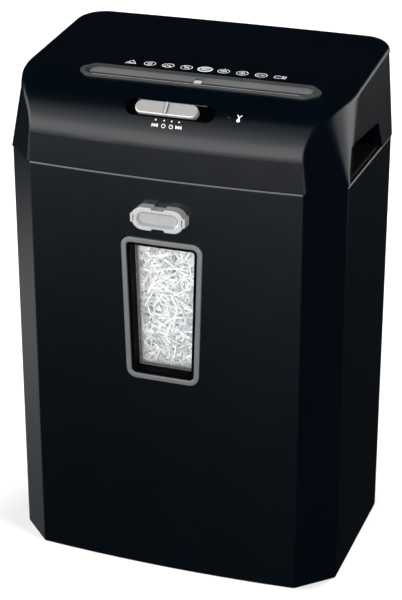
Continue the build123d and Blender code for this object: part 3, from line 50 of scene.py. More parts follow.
HOOD_RADIUS = (TOP - math.tan(SLOPE) * FRONT - HOOD_WALL) * math.cos(SLOPE) / (1 - math.sin(SLOPE))
HOOD_CENTRE = HOOD_RADIUS - FRONT
WINDOW_Z = 0.29085
LIP_BEVEL = 0.004
LIP_RISE = 0.0018
SLIDER_X = 0.0009
SLIDER_TILT = 45.0
POCKET_HALF = 0.00735
KNOB_PROUD = 0.0024
RIB_PROUD = 0.0013
THROAT_X = 0.016
THROAT_Y = -0.057
BEZEL_PROUD = 0.0022

PRINT_LIFT = 0.00004
PRINT_THICKNESS = 0.00008
TRAY_EDGE_GAP = 0.0004


# Materials
NOISE_ROUGHNESS = 0.55
NOISE_LOW = 0.3
NOISE_HIGH = 0.7


def material_with(name):
    """New material, its node tree and its main shader."""
    material = bpy.data.materials.new(name)
    material.use_nodes = True
    tree = material.node_tree
    return material, tree, tree.nodes["Principled BSDF"]


def noise(tree, scale, detail=3.0):
    """Noise in the object's own space, so it rides with its piece."""
    place = tree.nodes.new("ShaderNodeTexCoord")
    node = tree.nodes.new("ShaderNodeTexNoise")
    node.inputs["Scale"].default_value = scale
    node.inputs["Detail"].default_value = detail
    node.inputs["Roughness"].default_value = NOISE_ROUGHNESS
    tree.links.new(place.outputs["Object"], node.inputs["Vector"])
    return node.outputs["Fac"]


def spread(tree, value, low, high):
    """Noise stretched from its middle to a range."""
    node = tree.nodes.new("ShaderNodeMapRange")
    node.inputs["From Min"].default_value = NOISE_LOW
    node.inputs["From Max"].default_value = NOISE_HIGH
    node.inputs["To Min"].default_value = low
    node.inputs["To Max"].default_value = high
    tree.links.new(value, node.inputs["Value"])
    return node.outputs["Result"]


def mottled(tree, value, dark, light):
    """Colour that wanders between two shades."""
    node = tree.nodes.new("ShaderNodeValToRGB")
    node.color_ramp.elements[0].position = NOISE_LOW
    node.color_ramp.elements[1].position = NOISE_HIGH
    node.color_ramp.elements[0].color = (*dark, 1)
    node.color_ramp.elements[1].color = (*light, 1)
    tree.links.new(value, node.inputs["Fac"])
    return node.outputs["Color"]


def bumped(tree, shader, height, distance):
    """Surface relief from a height value."""
    node = tree.nodes.new("ShaderNodeBump")
    node.inputs["Distance"].default_value = distance
    tree.links.new(height, node.inputs["Height"])
    tree.links.new(node.outputs["Normal"], shader.inputs["Normal"])


def shade(colour, factor):
    """Colour made darker or lighter."""
    return tuple(min(1.0, c * factor) for c in colour)


def plastic(name, colour, rough, grain=1800.0, relief=0.00002, mottle=0.12, specular=0.5, metallic=0.0):
    """Moulded plastic: a faint mottle, an uneven gloss and a fine grain."""
    material, tree, shader = material_with(name)
    cloud = noise(tree, scale=22.0)
    tint = mottled(tree, cloud, shade(colour, 1 - mottle), shade(colour, 1 + mottle))
    tree.links.new(tint, shader.inputs["Base Color"])
    gloss = spread(tree, noise(tree, scale=60.0, detail=5.0), rough * 0.95, rough * 1.05)
    tree.links.new(gloss, shader.inputs["Roughness"])
    bumped(tree, shader, noise(tree, grain, detail=2.0), relief)
    shader.inputs["Specular IOR Level"].default_value = specular
    shader.inputs["Metallic"].default_value = metallic
    return material


def silver_paint(name, colour, rough, metallic=0.65):
    """Silver lacquer: fine flakes under a clear coat."""
    material, tree, shader = material_with(name)
    flakes = noise(tree, scale=1100.0, detail=2.0)
    tint = mottled(tree, flakes, shade(colour, 0.97), shade(colour, 1.03))
    tree.links.new(tint, shader.inputs["Base Color"])
    gloss = spread(tree, noise(tree, scale=80.0, detail=4.0), rough * 0.92, rough * 1.08)
    tree.links.new(gloss, shader.inputs["Roughness"])
    bumped(tree, shader, flakes, distance=0.000001)
    shader.inputs["Metallic"].default_value = metallic
    shader.inputs["Coat Weight"].default_value = 0.25
    shader.inputs["Coat Roughness"].default_value = 0.2
    return material


def ground_steel(name, colour, rough):
    """Machined steel: fine lines round and along, with a little oil."""
    material, tree, shader = material_with(name)
    place = tree.nodes.new("ShaderNodeTexCoord")
    stretch = tree.nodes.new("ShaderNodeMapping")
    stretch.inputs["Scale"].default_value = (2400.0, 160.0, 160.0)
    lines = tree.nodes.new("ShaderNodeTexNoise")
    lines.inputs["Scale"].default_value = 1.0
    tree.links.new(place.outputs["Object"], stretch.inputs["Vector"])
    tree.links.new(stretch.outputs["Vector"], lines.inputs["Vector"])
    stain = noise(tree, scale=40.0, detail=4.0)
    tint = mottled(tree, stain, shade(colour, 0.8), shade(colour, 1.15))
    tree.links.new(tint, shader.inputs["Base Color"])
    gloss = spread(tree, lines.outputs["Fac"], rough * 0.75, rough * 1.25)
    tree.links.new(gloss, shader.inputs["Roughness"])
    bumped(tree, shader, lines.outputs["Fac"], distance=0.00001)
    shader.inputs["Metallic"].default_value = 1.0
    return material


def clear_plastic(name):
    """Clear window sheet with faint dust."""
    material, tree, shader = material_with(name)
    dust = noise(tree, scale=900.0, detail=6.0)
    tint = mottled(tree, dust, (0.75, 0.78, 0.8), (0.92, 0.94, 0.95))
    tree.links.new(tint, shader.inputs["Base Color"])
    gloss = spread(tree, dust, 0.04, 0.12)
    tree.links.new(gloss, shader.inputs["Roughness"])
    shader.inputs["Alpha"].default_value = 0.1
    return material


def paper(name, colour):
    """Plain office paper with soft fibre mottle."""
    material, tree, shader = material_with(name)
    fibres = noise(tree, scale=90.0, detail=4.0)
    tint = mottled(tree, fibres, shade(colour, 0.9), shade(colour, 1.1))
    tree.links.new(tint, shader.inputs["Base Color"])
    bumped(tree, shader, noise(tree, scale=4000.0, detail=2.0), distance=0.00002)
    shader.inputs["Roughness"].default_value = 0.85
    shader.inputs["Specular IOR Level"].default_value = 0.2
    return material


def lens_red(name):
    """Small tinted lens."""
    material, tree, shader = material_with(name)
    depth = noise(tree, scale=700.0)
    tint = mottled(tree, depth, (0.0022, 0.0012, 0.0012), (0.004, 0.0018, 0.0018))
    tree.links.new(tint, shader.inputs["Base Color"])
    shader.inputs["Roughness"].default_value = 0.12
    shader.inputs["Coat Weight"].default_value = 0.6
    return material


BLACK = (0.0003, 0.0014, 0.0028)
BODY = plastic("black_body", BLACK, rough=0.2, relief=0.000006)
HOOD = plastic("black_hood", BLACK, rough=0.22, relief=0.000006)
RIM = plastic("black_rim", BLACK, rough=0.2, relief=0.000004, specular=1.0)
WELL = plastic("black_well", (0.0006, 0.0006, 0.0007), rough=0.5, specular=0.02)
INNER = plastic("black_inner", (0.02, 0.02, 0.022), rough=0.6)
BASE = plastic("black_base", (0.003, 0.003, 0.0032), rough=0.5, specular=0.15)
SILVER = silver_paint("silver", (0.58, 0.582, 0.584), rough=0.3)
PAD_SILVER = silver_paint("pad_silver", (0.5, 0.5, 0.498), rough=0.3)
PALE_SILVER = silver_paint("pale_silver", (0.62, 0.617, 0.603), rough=0.3)
FRAME_SILVER = silver_paint("frame_silver", (0.25, 0.253, 0.258), rough=0.3, metallic=0.75)
BEZEL = plastic("grey_bezel", (0.036, 0.037, 0.038), rough=0.3, specular=0.6)
GUIDE = plastic("grey_guide", (0.1, 0.1, 0.101), rough=0.4)
WHITE = plastic("white_moulding", (0.42, 0.42, 0.41), rough=0.3, mottle=0.05)
NYLON = plastic("nylon", (0.72, 0.69, 0.6), rough=0.45, mottle=0.06)
BOARD = plastic("board_green", (0.02, 0.12, 0.05), rough=0.4)
STEEL = ground_steel("ground_steel", (0.5, 0.5, 0.51), rough=0.3)
PLATE = ground_steel("zinc_plate", (0.62, 0.62, 0.6), rough=0.4)
BRONZE = ground_steel("bronze", (0.55, 0.36, 0.16), rough=0.42)
MOTOR = plastic("motor_paint", (0.13, 0.135, 0.14), rough=0.4, metallic=0.3)
CLEAR = clear_plastic("clear_sheet")
# Three copies of one white paper, given to the strips at random: the tone varies at random, and the darker
# two are painted shade standing in for the shadows among the tangled strips
PAPERS = [
    paper("paper_white", (0.88, 0.88, 0.87)),
    paper("paper_half_shade", (0.68, 0.68, 0.68)),
    paper("paper_painted_shade", (0.36, 0.36, 0.37)),
]
# Dark grey paper for the heap's body: painted shade, seen in the gaps between the loose strips
PAPER_SHADE_CORE = paper("paper_core_painted_shade", (0.1, 0.1, 0.105))
LENS = lens_red("lens")
# Dark ink for the lines beside the slide's rib: painted shadow, standing in for the shade at the rib's
# sides
PAINTED_RIB_SHADE = plastic("knob_painted_shade", (0.03, 0.03, 0.032), rough=0.5)
# Near-white paint for a strip on the slide's rib: a painted highlight standing in for the light caught by
# the rib's top
RIB_HIGHLIGHT_PAINT = silver_paint("rib_painted_highlight", (0.92, 0.92, 0.91), rough=0.25)
# Grey ink for a line along the slide tray's upper edge: a painted highlight standing in for the light on
# the edge's rounding
TRAY_HIGHLIGHT_PAINT = plastic("tray_edge_highlight", (0.12, 0.12, 0.122), rough=0.35)
# Light grey ink for a line on the bezel's front edge: a painted highlight
BEZEL_HIGHLIGHT_PAINT = plastic("bezel_painted_highlight", (0.34, 0.34, 0.345), rough=0.35)
PRINT = plastic("white_print", (0.82, 0.82, 0.81), rough=0.5, mottle=0.04, relief=0.000004)

LOOKS = {
    BODY: ["bin_shell"],
    HOOD: ["head_cover", "cord_gland"],
    WELL: ["window_well", "left_hand_cup", "right_hand_cup", "slider_tray"],
    BASE: ["head_base"],
    INNER: [
        "feed_funnel",
        "mode_switch",
        "sensor_switch",
        "interlock_switch",
        "front_strippers",
        "rear_strippers",
        "board_parts",
    ],
    SILVER: ["front_grip"],
    PALE_SILVER: ["slider_knob"],
    PAD_SILVER: ["grip_pad"],
    FRAME_SILVER: ["window_frame"],
    BEZEL: ["throat_bezel"],
    GUIDE: ["feed_guide"],
    CLEAR: ["window_pane"],
    WHITE: ["sensor_lever"],
    LENS: ["indicator_lens"],
    NYLON: ["drive_gear", "second_gear", "first_gear"],
    BOARD: ["control_board"],
    STEEL: [
        "front_cutter_shaft",
        "front_cutter_discs",
        "rear_cutter_shaft",
        "rear_cutter_discs",
        "front_spacers",
        "rear_spacers",
        "front_sync_gear",
        "rear_sync_gear",
        "tie_rods",
        "gear_axles",
        "gear_posts",
        "motor_shaft",
        "motor_pinion",
        "sensor_pin",
        "head_screws",
    ],
    PLATE: ["left_side_plate", "right_side_plate", "gear_plate"],
    BRONZE: ["shaft_bushes"],
    MOTOR: ["motor_housing"],
}
for look, names in LOOKS.items():
    for name in names:
        mesh = NODES[name].data
        mesh.materials.clear()
        mesh.materials.append(look)


# New pieces
def piece(name, vertices, faces, material, body):
    """Mesh object that rides on a body."""
    mesh = bpy.data.meshes.new(name)
    mesh.from_pydata(vertices, [], faces)
    mesh.materials.append(material)
    mesh.validate()
    mesh.update()
    obj = bpy.data.objects.new(name, mesh)
    bpy.context.scene.collection.objects.link(obj)
    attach(obj, body)
    return obj


# Rim strip in the groove under the head
STRIP_WIDTH = 0.0029
STRIP_GAP = 0.0002
STRIP_LEAN = 0.0006
STRIP_INSET = 0.0001
SAME_HEIGHT = 0.00001


def outline_of(points):
    """Convex outline round points in X and Y, anticlockwise."""

    def chain(row):
        """One side of the outline, along a sorted row."""
        line = []
        for x, y in row:
            while len(line) > 1:
                (ax, ay), (bx, by) = line[-2:]
                if (bx - ax) * (y - ay) - (by - ay) * (x - ax) > 0:
                    break
                line.pop()
            line.append((x, y))
        return line[:-1]

    row = sorted(set(points))
    return chain(row) + chain(row[::-1])


def rim_strip():
    """Bevelled strip that fills the bin's groove and catches the light along the seam."""
    shell = NODES["bin_shell"]
    corners = [shell.matrix_world @ vertex.co for vertex in shell.data.vertices]
    low = [p for p in corners if abs(p.z - (SEAM - LIP_RISE)) < SAME_HEIGHT]
    edge = [(round(p.x, 6), round(p.y, 6)) for p in low]
    ring_points = [Vector(p) for p in outline_of(edge)]
    slope = LIP_RISE / LIP_BEVEL
    section = [
        (STRIP_INSET, LIP_RISE - STRIP_INSET * slope),
        (STRIP_LEAN, STRIP_GAP),
        (STRIP_WIDTH, STRIP_GAP),
        (STRIP_WIDTH, LIP_RISE - STRIP_WIDTH * slope),
    ]
    vertices, faces = [], []
    count, sides = len(ring_points), len(section)
    for i, point in enumerate(ring_points):
        before = (point - ring_points[i - 1]).normalized()
        after = (ring_points[(i + 1) % count] - point).normalized()
        inward = Vector((-before.y - after.y, before.x + after.x)) / (1 + before.dot(after))
        for depth, drop in section:
            x, y = point + inward * depth
            vertices.append((x, y, SEAM - drop))
    for i in range(count):
        a, b = i * sides, (i + 1) % count * sides
        for k in range(sides):
            m = (k + 1) % sides
            faces.append((a + k, a + m, b + m, b + k))
    return piece("rim_strip", vertices, faces, RIM, "bin")


rim_strip()


# Printed symbols, drawn as strokes in millimetres and laid on the head's surface
def on_top(x, y):
    """Point on the head's sloping top, and its normal."""
    radius = math.hypot(x, BOW_CENTRE - y)
    z = SEAM + TOP + math.tan(SLOPE) * (BOW_CENTRE - radius)
    return Vector((x, y, z)), Vector((0, -math.sin(SLOPE), math.cos(SLOPE)))


def on_hood(x, tilt):
    """Point on the hood's rounding, and its normal."""
    reach = BOW_CENTRE - HOOD_CENTRE + HOOD_RADIUS * math.cos(tilt)
    y = BOW_CENTRE - math.sqrt(reach**2 - x**2)
    z = SEAM + HOOD_WALL + HOOD_RADIUS * math.sin(tilt)
    return Vector((x, y, z)), Vector((0, -math.cos(tilt), math.sin(tilt)))


def arc(radius, start, end, steps=24, cx=0.0, cy=0.0, squash=1.0):
    """Points on an arc, angles in degrees."""
    angles = [math.radians(start + (end - start) * i / steps) for i in range(steps + 1)]
    return [(cx + radius * math.cos(a), cy + squash * radius * math.sin(a)) for a in angles]


def ribbon(points, width):
    """Quads along a line of points."""
    left, right = [], []
    for i, (x, y) in enumerate(points):
        ax, ay = points[max(i - 1, 0)]
        bx, by = points[min(i + 1, len(points) - 1)]
        length = math.hypot(bx - ax, by - ay) or 1.0
        nx, ny = (ay - by) / length * width / 2, (bx - ax) / length * width / 2
        left.append((x + nx, y + ny))
        right.append((x - nx, y - ny))
    return [(left[i], left[i + 1], right[i + 1], right[i]) for i in range(len(points) - 1)]


def path(points, width):
    """Straight strokes from point to point."""
    return [quad for pair in zip(points, points[1:]) for quad in ribbon(pair, width)]


def disc(radius, cx=0.0, cy=0.0):
    """Filled circle."""
    return [tuple(arc(radius, 0, 345, 23, cx, cy))]


def lay(name, shapes, place, material=PRINT, body="head"):
    """Lays shapes on a surface as one thin piece, of ink unless told otherwise."""
    vertices, faces = [], []
    for shape in shapes:
        first = len(vertices)
        for u, v in shape:
            point, normal = place(u / 1000, v / 1000)
            vertices.append(point + normal * PRINT_LIFT)
        faces.append(tuple(range(first, len(vertices))))
    obj = piece(name, vertices, faces, material, body)
    ink = obj.modifiers.new("ink", "SOLIDIFY")
    ink.thickness = PRINT_THICKNESS
    ink.offset = 0.0
    return obj


# Widths of the strokes, in millimetres
FINE = 0.42
HAIR = 0.4
THIN = 0.45
PLAIN = 0.5
FIRM = 0.55
BOLD = 0.6
BROAD = 0.7


def ring(radius=5.8, width=PLAIN):
    """Flattened circle round a symbol."""
    return ribbon(arc(radius, 0, 360, 36, squash=0.8), width)


def bar(x0, x1, y, width):
    """Level stroke."""
    return ribbon([(x0, y), (x1, y)], width)


def frame_line(half_x, half_y, width, cx=0.0):
    """Rectangle drawn as a closed line."""
    left, right = cx - half_x, cx + half_x
    corners = [(left, -half_y), (right, -half_y), (right, half_y), (left, half_y)]
    return path(corners + corners[:1], width)


def triangle(half, low, high, width):
    """Triangle drawn as a closed line."""
    return path([(-half, low), (half, low), (0, high), (-half, low)], width)


def sheet(half_x, half_y, fold_x, fold_y, width):
    """Sheet of paper with a folded corner."""
    corners = [(-half_x, -half_y), (-half_x, half_y), (fold_x, half_y), (half_x, fold_y), (half_x, -half_y)]
    return path(corners + corners[:1], width)


def scissors(width):
    """Two crossed blades with finger rings."""
    blades = ribbon([(-2.6, -2.2), (2.2, 2.4)], width) + ribbon([(2.6, -2.2), (-2.2, 2.4)], width)
    return blades + [quad for x in (-2.7, 2.7) for quad in ribbon(arc(0.8, 0, 360, 16, x, -2.2), width)]


SYMBOLS = [
    triangle(5.4, -3.6, 4.4, FIRM) + bar(-2.6, 2.6, -1.9, BOLD),
    ring() + sheet(1.9, 2.7, 0.8, 1.5, FINE) + bar(-0.9, 0.9, 0.6, FINE) + bar(-0.9, 0.9, -0.8, FINE),
    ring() + scissors(FINE),
    ring() + ribbon([(-3.6, 2.4), (3.6, -2.4)], FINE) + frame_line(1.9, 1.5, FINE, 0.2),
    ring(7.2, BROAD) + ring(6.0, HAIR) + frame_line(3.4, 1.9, BOLD)
    + bar(-2.2, 2.2, 0.7, FINE) + bar(-2.2, 1.0, -0.6, FINE),
    ring() + frame_line(2.6, 1.6, FINE) + bar(-2.6, 2.6, 0.6, BOLD),
    ring() + ribbon(arc(2.5, 0, 360, 28, squash=0.9), FINE) + disc(0.8),
    ring() + bar(-3.2, 3.0, 0.4, FINE) + ribbon(arc(1.1, 60, 300, 14, -2.6, -0.6), FINE)
    + ribbon([(0.6, -1.8), (2.4, 1.8)], FINE),
    frame_line(5.6, 2.5, PLAIN) + ribbon([(2.4, -2.4), (2.4, 2.4)], FINE)
    + ribbon([(3.4, -1.2), (3.4, 1.2)], FINE),
]
SYMBOL_START = -0.064
SYMBOL_STEP = 0.019
SYMBOL_Y = -0.027


def top_place(x, y):
    """Place on the sloping top round a point, across and up its slope."""
    return lambda u, v: on_top(x + u, y + v * math.cos(SLOPE))


for i, shapes in enumerate(SYMBOLS):
    lay(f"mark_{i + 1}", shapes, top_place(SYMBOL_START + i * SYMBOL_STEP, SYMBOL_Y))


# Signs by the slide control, on the hood
def hood_place(x, tilt):
    """Place on the hood round a point, across and up its rounding."""
    return lambda u, v: on_hood(x + u, math.radians(tilt) + v / HOOD_RADIUS)


# Sizes of the signs, in millimetres
ARROW_HALF = 1.7
ARROW_LENGTH = 2.8
ARROW_STEP = 2.6
ARROW_POST = 2.9
SIGN_RADIUS = 1.75
STOP_RADIUS = 0.7

# Places of the signs, in metres across and degrees up the rounding
STOP_TILT = 32.0
SIGN_TILT = 26.0
STOPS = [-0.0076, SLIDER_X, 0.0084, 0.0157]
HEAT_X = 0.0718
HEAT_TILT = 43.3


def arrow(tip, back):
    """Filled arrow head."""
    return [(tip, 0), (back, ARROW_HALF), (back, -ARROW_HALF)]


def arrows(side):
    """Two arrow heads and a post, to the left or the right."""
    heads = [arrow(side * tip, side * (tip - ARROW_LENGTH)) for tip in (ARROW_STEP, 0.0)]
    post = side * ARROW_POST
    return heads + ribbon([(post, -ARROW_HALF), (post, ARROW_HALF)], BOLD)


def heat_sign():
    """Bulb and stem with two rays."""
    stem = disc(1.65, 0, -2.3) + ribbon([(0, -1.4), (0.3, 1.4)], 1.3)
    return stem + ribbon([(0.2, 1.0), (-1.8, 3.4)], BROAD) + ribbon([(0.4, 1.0), (2.8, 3.2)], BROAD)


SIGNS = [
    arrows(-1),
    ribbon(arc(SIGN_RADIUS, 0, 360, 28), THIN),
    ribbon(arc(SIGN_RADIUS, 120, 420, 28), THIN) + ribbon([(0, 0.4), (0, 2.3)], THIN),
    arrows(1),
]
for i, (x, shapes) in enumerate(zip(STOPS, SIGNS)):
    lay(f"stop_{i + 1}", disc(STOP_RADIUS), hood_place(x, STOP_TILT))
    lay(f"sign_{i + 1}", shapes, hood_place(x, SIGN_TILT))
lay("heat_sign", heat_sign(), hood_place(HEAT_X, HEAT_TILT))


# Thin trim of the slide control: painted shadow lines beside its rib, a painted highlight on the rib's top
# and a painted highlight along the tray's upper edge
def on_knob(lift):
    """Place on the slide control's flat face, a height above it."""
    tilt = math.radians(SLIDER_TILT)
    point, normal = on_hood(SLIDER_X, tilt)
    start = point + normal * (KNOB_PROUD + lift)
    up = Vector((0, math.sin(tilt), math.cos(tilt)))
    return lambda u, v: (start + Vector((u, 0, 0)) + up * v, normal)


# Sizes of the trim, in millimetres
RIB_REACH = 5.3
RIB_TOP_WIDTH = 1.5
RIB_LINE_X = 1.65
RIB_LINE_WIDTH = 0.7
TRAY_LEFT = -31
TRAY_RIGHT = 38
TRAY_STEP = 3
TRAY_HIGHLIGHT_WIDTH = 0.4

# Height of the tray's upper edge on the rounding, in degrees
EDGE_TILT = SLIDER_TILT + math.degrees((POCKET_HALF + TRAY_EDGE_GAP) / HOOD_RADIUS)


def rib_stroke(x, width):
    """Line along the rib's whole reach."""
    return ribbon([(x, -RIB_REACH), (x, RIB_REACH)], width)


# The dark lines beside the rib are painted shadow
rib_shadow_lines = rib_stroke(-RIB_LINE_X, RIB_LINE_WIDTH) + rib_stroke(RIB_LINE_X, RIB_LINE_WIDTH)
lay("rib_shadow_lines", rib_shadow_lines, on_knob(0.0), PAINTED_RIB_SHADE, "control_slider")
# The light strip on the rib's top is a painted highlight
lay("rib_top_highlight", rib_stroke(0, RIB_TOP_WIDTH), on_knob(RIB_PROUD), RIB_HIGHLIGHT_PAINT, "control_slider")
# The line along the tray's upper edge is a painted highlight
edge_points = [(x, 0) for x in range(TRAY_LEFT, TRAY_RIGHT + 1, TRAY_STEP)]
lay("tray_edge_highlight", ribbon(edge_points, TRAY_HIGHLIGHT_WIDTH), hood_place(SLIDER_X, EDGE_TILT), TRAY_HIGHLIGHT_PAINT)


# Thin light line along the bezel's front edge, a painted highlight, sizes in millimetres
BEZEL_LINE_HALF = 104
BEZEL_LINE_Y = -13.1
BEZEL_LINE_WIDTH = 0.45


def on_bezel(u, v):
    """Place on the throat bezel's flat top."""
    point, normal = on_top(0.0, THROAT_Y)
    up = Vector((0, math.cos(SLOPE), math.sin(SLOPE)))
    return point + Vector((THROAT_X + u, 0, 0)) + up * v + normal * BEZEL_PROUD, normal


lay("bezel_highlight_line", bar(-BEZEL_LINE_HALF, BEZEL_LINE_HALF, BEZEL_LINE_Y, BEZEL_LINE_WIDTH), on_bezel, BEZEL_HIGHLIGHT_PAINT)


# Shreds in the bin
CHANCE = random.Random(7)
SHRED_ROWS = 6
SHRED_CURL = 0.9
SHRED_TWIST = 1.6
BEND_MEAN = 0.08
# Odds of each paper copy per strip; the darker copies are painted shade
SHADE_ODDS = (0, 0, 1, 1, 2)


def shred(centre, along, across, length, width, curl):
    """Curled strip of paper as a row of points on its two edges."""
    normal = along.cross(across).normalized()
    left, right = [], []
    for i in range(SHRED_ROWS):
        t = i / (SHRED_ROWS - 1) - 0.5
        bend = curl * (t * t - BEND_MEAN) * length
        twist = across.normalized() * width / 2
        twist = Matrix.Rotation(curl * t * SHRED_TWIST, 3, along) @ twist
        spine = centre + along * (t * length) + normal * bend
        left.append(spine - twist)
        right.append(spine + twist)
    return left, right


def direction():
    """Random direction, from a point inside a ball."""
    while True:
        v = Vector([CHANCE.uniform(-1, 1) for _ in range(3)])
        if 0.1 < v.length < 1:
            return v.normalized()


def scatter(name, count, place, tilt, lengths, widths, front):
    """Many shreds as one mesh, none of them in front of a plane."""
    vertices, faces, shades = [], [], []
    for _ in range(count):
        centre, facing = place()
        along = direction()
        along = (along - facing * along.dot(facing) * (1 - tilt)).normalized()
        across = facing.cross(along).normalized()
        across = (across + facing * CHANCE.uniform(-tilt, tilt)).normalized()
        curl = CHANCE.uniform(-SHRED_CURL, SHRED_CURL)
        length = CHANCE.uniform(*lengths)
        width = CHANCE.uniform(*widths)
        left, right = shred(centre, along, across, length, width, curl)
        first = len(vertices)
        back = Vector((0, max(0.0, front - min(point.y for point in left + right)), 0))
        for a, b in zip(left, right):
            vertices += [a + back, b + back]
        for i in range(len(left) - 1):
            k = first + 2 * i
            faces.append((k, k + 1, k + 3, k + 2))
        shades += [CHANCE.choice(SHADE_ODDS)] * (len(left) - 1)
    obj = piece(name, vertices, faces, PAPERS[0], "bin")
    for extra in PAPERS[1:]:
        obj.data.materials.append(extra)
    for polygon, tone in zip(obj.data.polygons, shades):
        polygon.use_smooth = True
        polygon.material_index = tone
    return obj


WINDOW_BACK = -0.0985
WINDOW_DEPTH = 0.0045
LAYER_DEPTH = 0.008
WINDOW_SPREAD_X = 0.037
WINDOW_SPREAD_Z = 0.072
HEAP_SIDE = 0.356
HEAP_INSET = 0.016
HEAP_FRONT_INSET = 1.7 * HEAP_INSET
HEAP_FLOOR = 0.008
HEAP_LEVELS = 22
HEAP_RINGS = 8
HEAP_STEP = 0.012
HEAP_WOBBLE = 0.012
HEAP_SINK = 0.004
HEAP_ROUGH = (-0.003, 0.001)
HEAP_FRONT = -0.1
HEAP_SPREAD_X = 0.150
HEAP_SPREAD_Y = (-0.085, 0.092)
MOUND = 0.022
MOUND_WIDTH = 0.11
MOUND_DEPTH = 0.08
MOUND_Y = -0.05
RIPPLE = 0.004
RIPPLE_X = 61
RIPPLE_Y = 73


def heap_height(x, y):
    """Uneven top of the shred heap, higher under the cutters."""
    mound = MOUND * math.exp(-((x / MOUND_WIDTH) ** 2) - ((y - MOUND_Y) / MOUND_DEPTH) ** 2)
    ripple = RIPPLE * math.sin(x * RIPPLE_X + 1.3) * math.cos(y * RIPPLE_Y + 0.4)
    return HEAP_SIDE + mound + ripple


def behind_window():
    """Place and facing of a shred behind the pane."""
    x = CHANCE.uniform(-WINDOW_SPREAD_X, WINDOW_SPREAD_X)
    z = WINDOW_Z + CHANCE.uniform(-WINDOW_SPREAD_Z, WINDOW_SPREAD_Z)
    depth = CHANCE.random() ** 1.5 * LAYER_DEPTH
    return Vector((x, WINDOW_BACK + WINDOW_DEPTH + depth, z)), Vector((0, -1, 0))


def on_heap():
    """Place and facing of a shred on the heap."""
    x = CHANCE.uniform(-HEAP_SPREAD_X, HEAP_SPREAD_X)
    y = CHANCE.uniform(*HEAP_SPREAD_Y)
    return Vector((x, y, heap_height(x, y) + CHANCE.uniform(0.0, LAYER_DEPTH))), Vector((0, 0, 1))


scatter(
    "shreds_window",
    count=800,
    place=behind_window,
    tilt=0.25,
    lengths=(0.018, 0.036),
    widths=(0.0013, 0.0021),
    front=WINDOW_BACK,
)
scatter(
    "shreds_top",
    count=1700,
    place=on_heap,
    tilt=0.35,
    lengths=(0.016, 0.03),
    widths=(0.0022, 0.0032),
    front=HEAP_FRONT,
)


def heap_outline():
    """Points round the heap, inside the bin's walls."""
    half, cut = HALF - HEAP_INSET, CORNER_CUT
    front, rear = FLAT_FRONT - HEAP_FRONT_INSET, FLAT_FRONT - HEAP_INSET
    corners = [
        (-(half - cut), -front),
        (half - cut, -front),
        (half, cut - front),
        (half, rear - cut),
        (half - cut, rear),
        (-(half - cut), rear),
        (-half, rear - cut),
        (-half, cut - front),
    ]
    outline = []
    for (x0, y0), (x1, y1) in zip(corners, corners[1:] + corners[:1]):
        steps = max(2, round(math.hypot(x1 - x0, y1 - y0) / HEAP_STEP))
        for k in range(steps):
            outline.append((x0 + (x1 - x0) * k / steps, y0 + (y1 - y0) * k / steps))
    return outline


def heap():
    """Body of the heap under the loose shreds: rings up the bin and an uneven top, dark grey as painted
    shade in the gaps between the strips.
    """
    outline = heap_outline()
    vertices, faces = [], []
    count = len(outline)
    for level in range(HEAP_LEVELS + 1):
        t = level / HEAP_LEVELS
        for x, y in outline:
            top = heap_height(x, y) - HEAP_SINK
            wobble = 1 + CHANCE.uniform(-HEAP_WOBBLE, 0.0)
            vertices.append((x * wobble, y * wobble, HEAP_FLOOR + (top - HEAP_FLOOR) * t))
    for level in range(HEAP_LEVELS):
        for k in range(count):
            a, b = level * count + k, level * count + (k + 1) % count
            faces.append((a, b, b + count, a + count))
    last = HEAP_LEVELS * count
    for step in range(1, HEAP_RINGS):
        scale = 1 - step / HEAP_RINGS
        for x, y in outline:
            px, py = x * scale, y * scale
            vertices.append((px, py, heap_height(px, py) + CHANCE.uniform(*HEAP_ROUGH)))
        for k in range(count):
            a, b = last + k, last + (k + 1) % count
            faces.append((a, b, b + count, a + count))
        last += count
    centre = len(vertices)
    vertices.append((0, 0, heap_height(0, 0)))
    for k in range(count):
        faces.append((last + k, last + (k + 1) % count, centre))
    foot = len(vertices)
    vertices.append((0, 0, HEAP_FLOOR))
    for k in range(count):
        faces.append(((k + 1) % count, k, foot))
    return piece("shred_heap", vertices, faces, PAPER_SHADE_CORE, "bin")


heap()


# Floor, light and camera
FLOOR_REACH = 2.5
FLOOR_CORNERS = 64


def floor():
    """Round white floor that the gloss doesn't mirror."""
    mesh = bpy.data.meshes.new("floor")
    angles = [math.tau * i / FLOOR_CORNERS for i in range(FLOOR_CORNERS)]
    edge = [(FLOOR_REACH * math.cos(a), FLOOR_REACH * math.sin(a), 0) for a in angles]
    mesh.from_pydata(edge, [], [tuple(range(FLOOR_CORNERS))])
    material, tree, shader = material_with("floor")
    tint = mottled(tree, noise(tree, scale=1.5), (0.86, 0.86, 0.86), (0.9, 0.9, 0.9))
    tree.links.new(tint, shader.inputs["Base Color"])
    shader.inputs["Roughness"].default_value = 0.7
    shader.inputs["Specular IOR Level"].default_value = 0.2
    mesh.materials.append(material)
    obj = bpy.data.objects.new("floor", mesh)
    obj.visible_glossy = False
    bpy.context.scene.collection.objects.link(obj)


# Lamps: name, place, what they aim at, width, height and power
LAMPS = [
    ("left_box", (-3.2, -0.4, 2.6), (0, 0, 0.1), 2.2, 2.2, 160),
    ("right_box", (3.2, -0.8, 2.8), (0, 0.2, 0.1), 2.0, 2.0, 150),
    ("front_box", (0.4, -3.4, 1.6), (0, 0, 0.3), 1.6, 1.2, 70),
    ("back_box", (1.4, 3.2, 3.0), (0.6, 0.9, 0.0), 2.4, 1.6, 150),
]


def softbox(name, place, aim, width, height, power):
    """Lamp for the floor and the matt surfaces; gloss mirrors the studio's cards instead."""
    light = bpy.data.lights.new(name, "AREA")
    light.shape = "RECTANGLE"
    light.size, light.size_y = width, height
    light.energy = power
    obj = bpy.data.objects.new(name, light)
    obj.location = place
    obj.rotation_euler = (Vector(aim) - Vector(place)).to_track_quat("-Z", "Y").to_euler()
    obj.visible_glossy = False
    bpy.context.scene.collection.objects.link(obj)


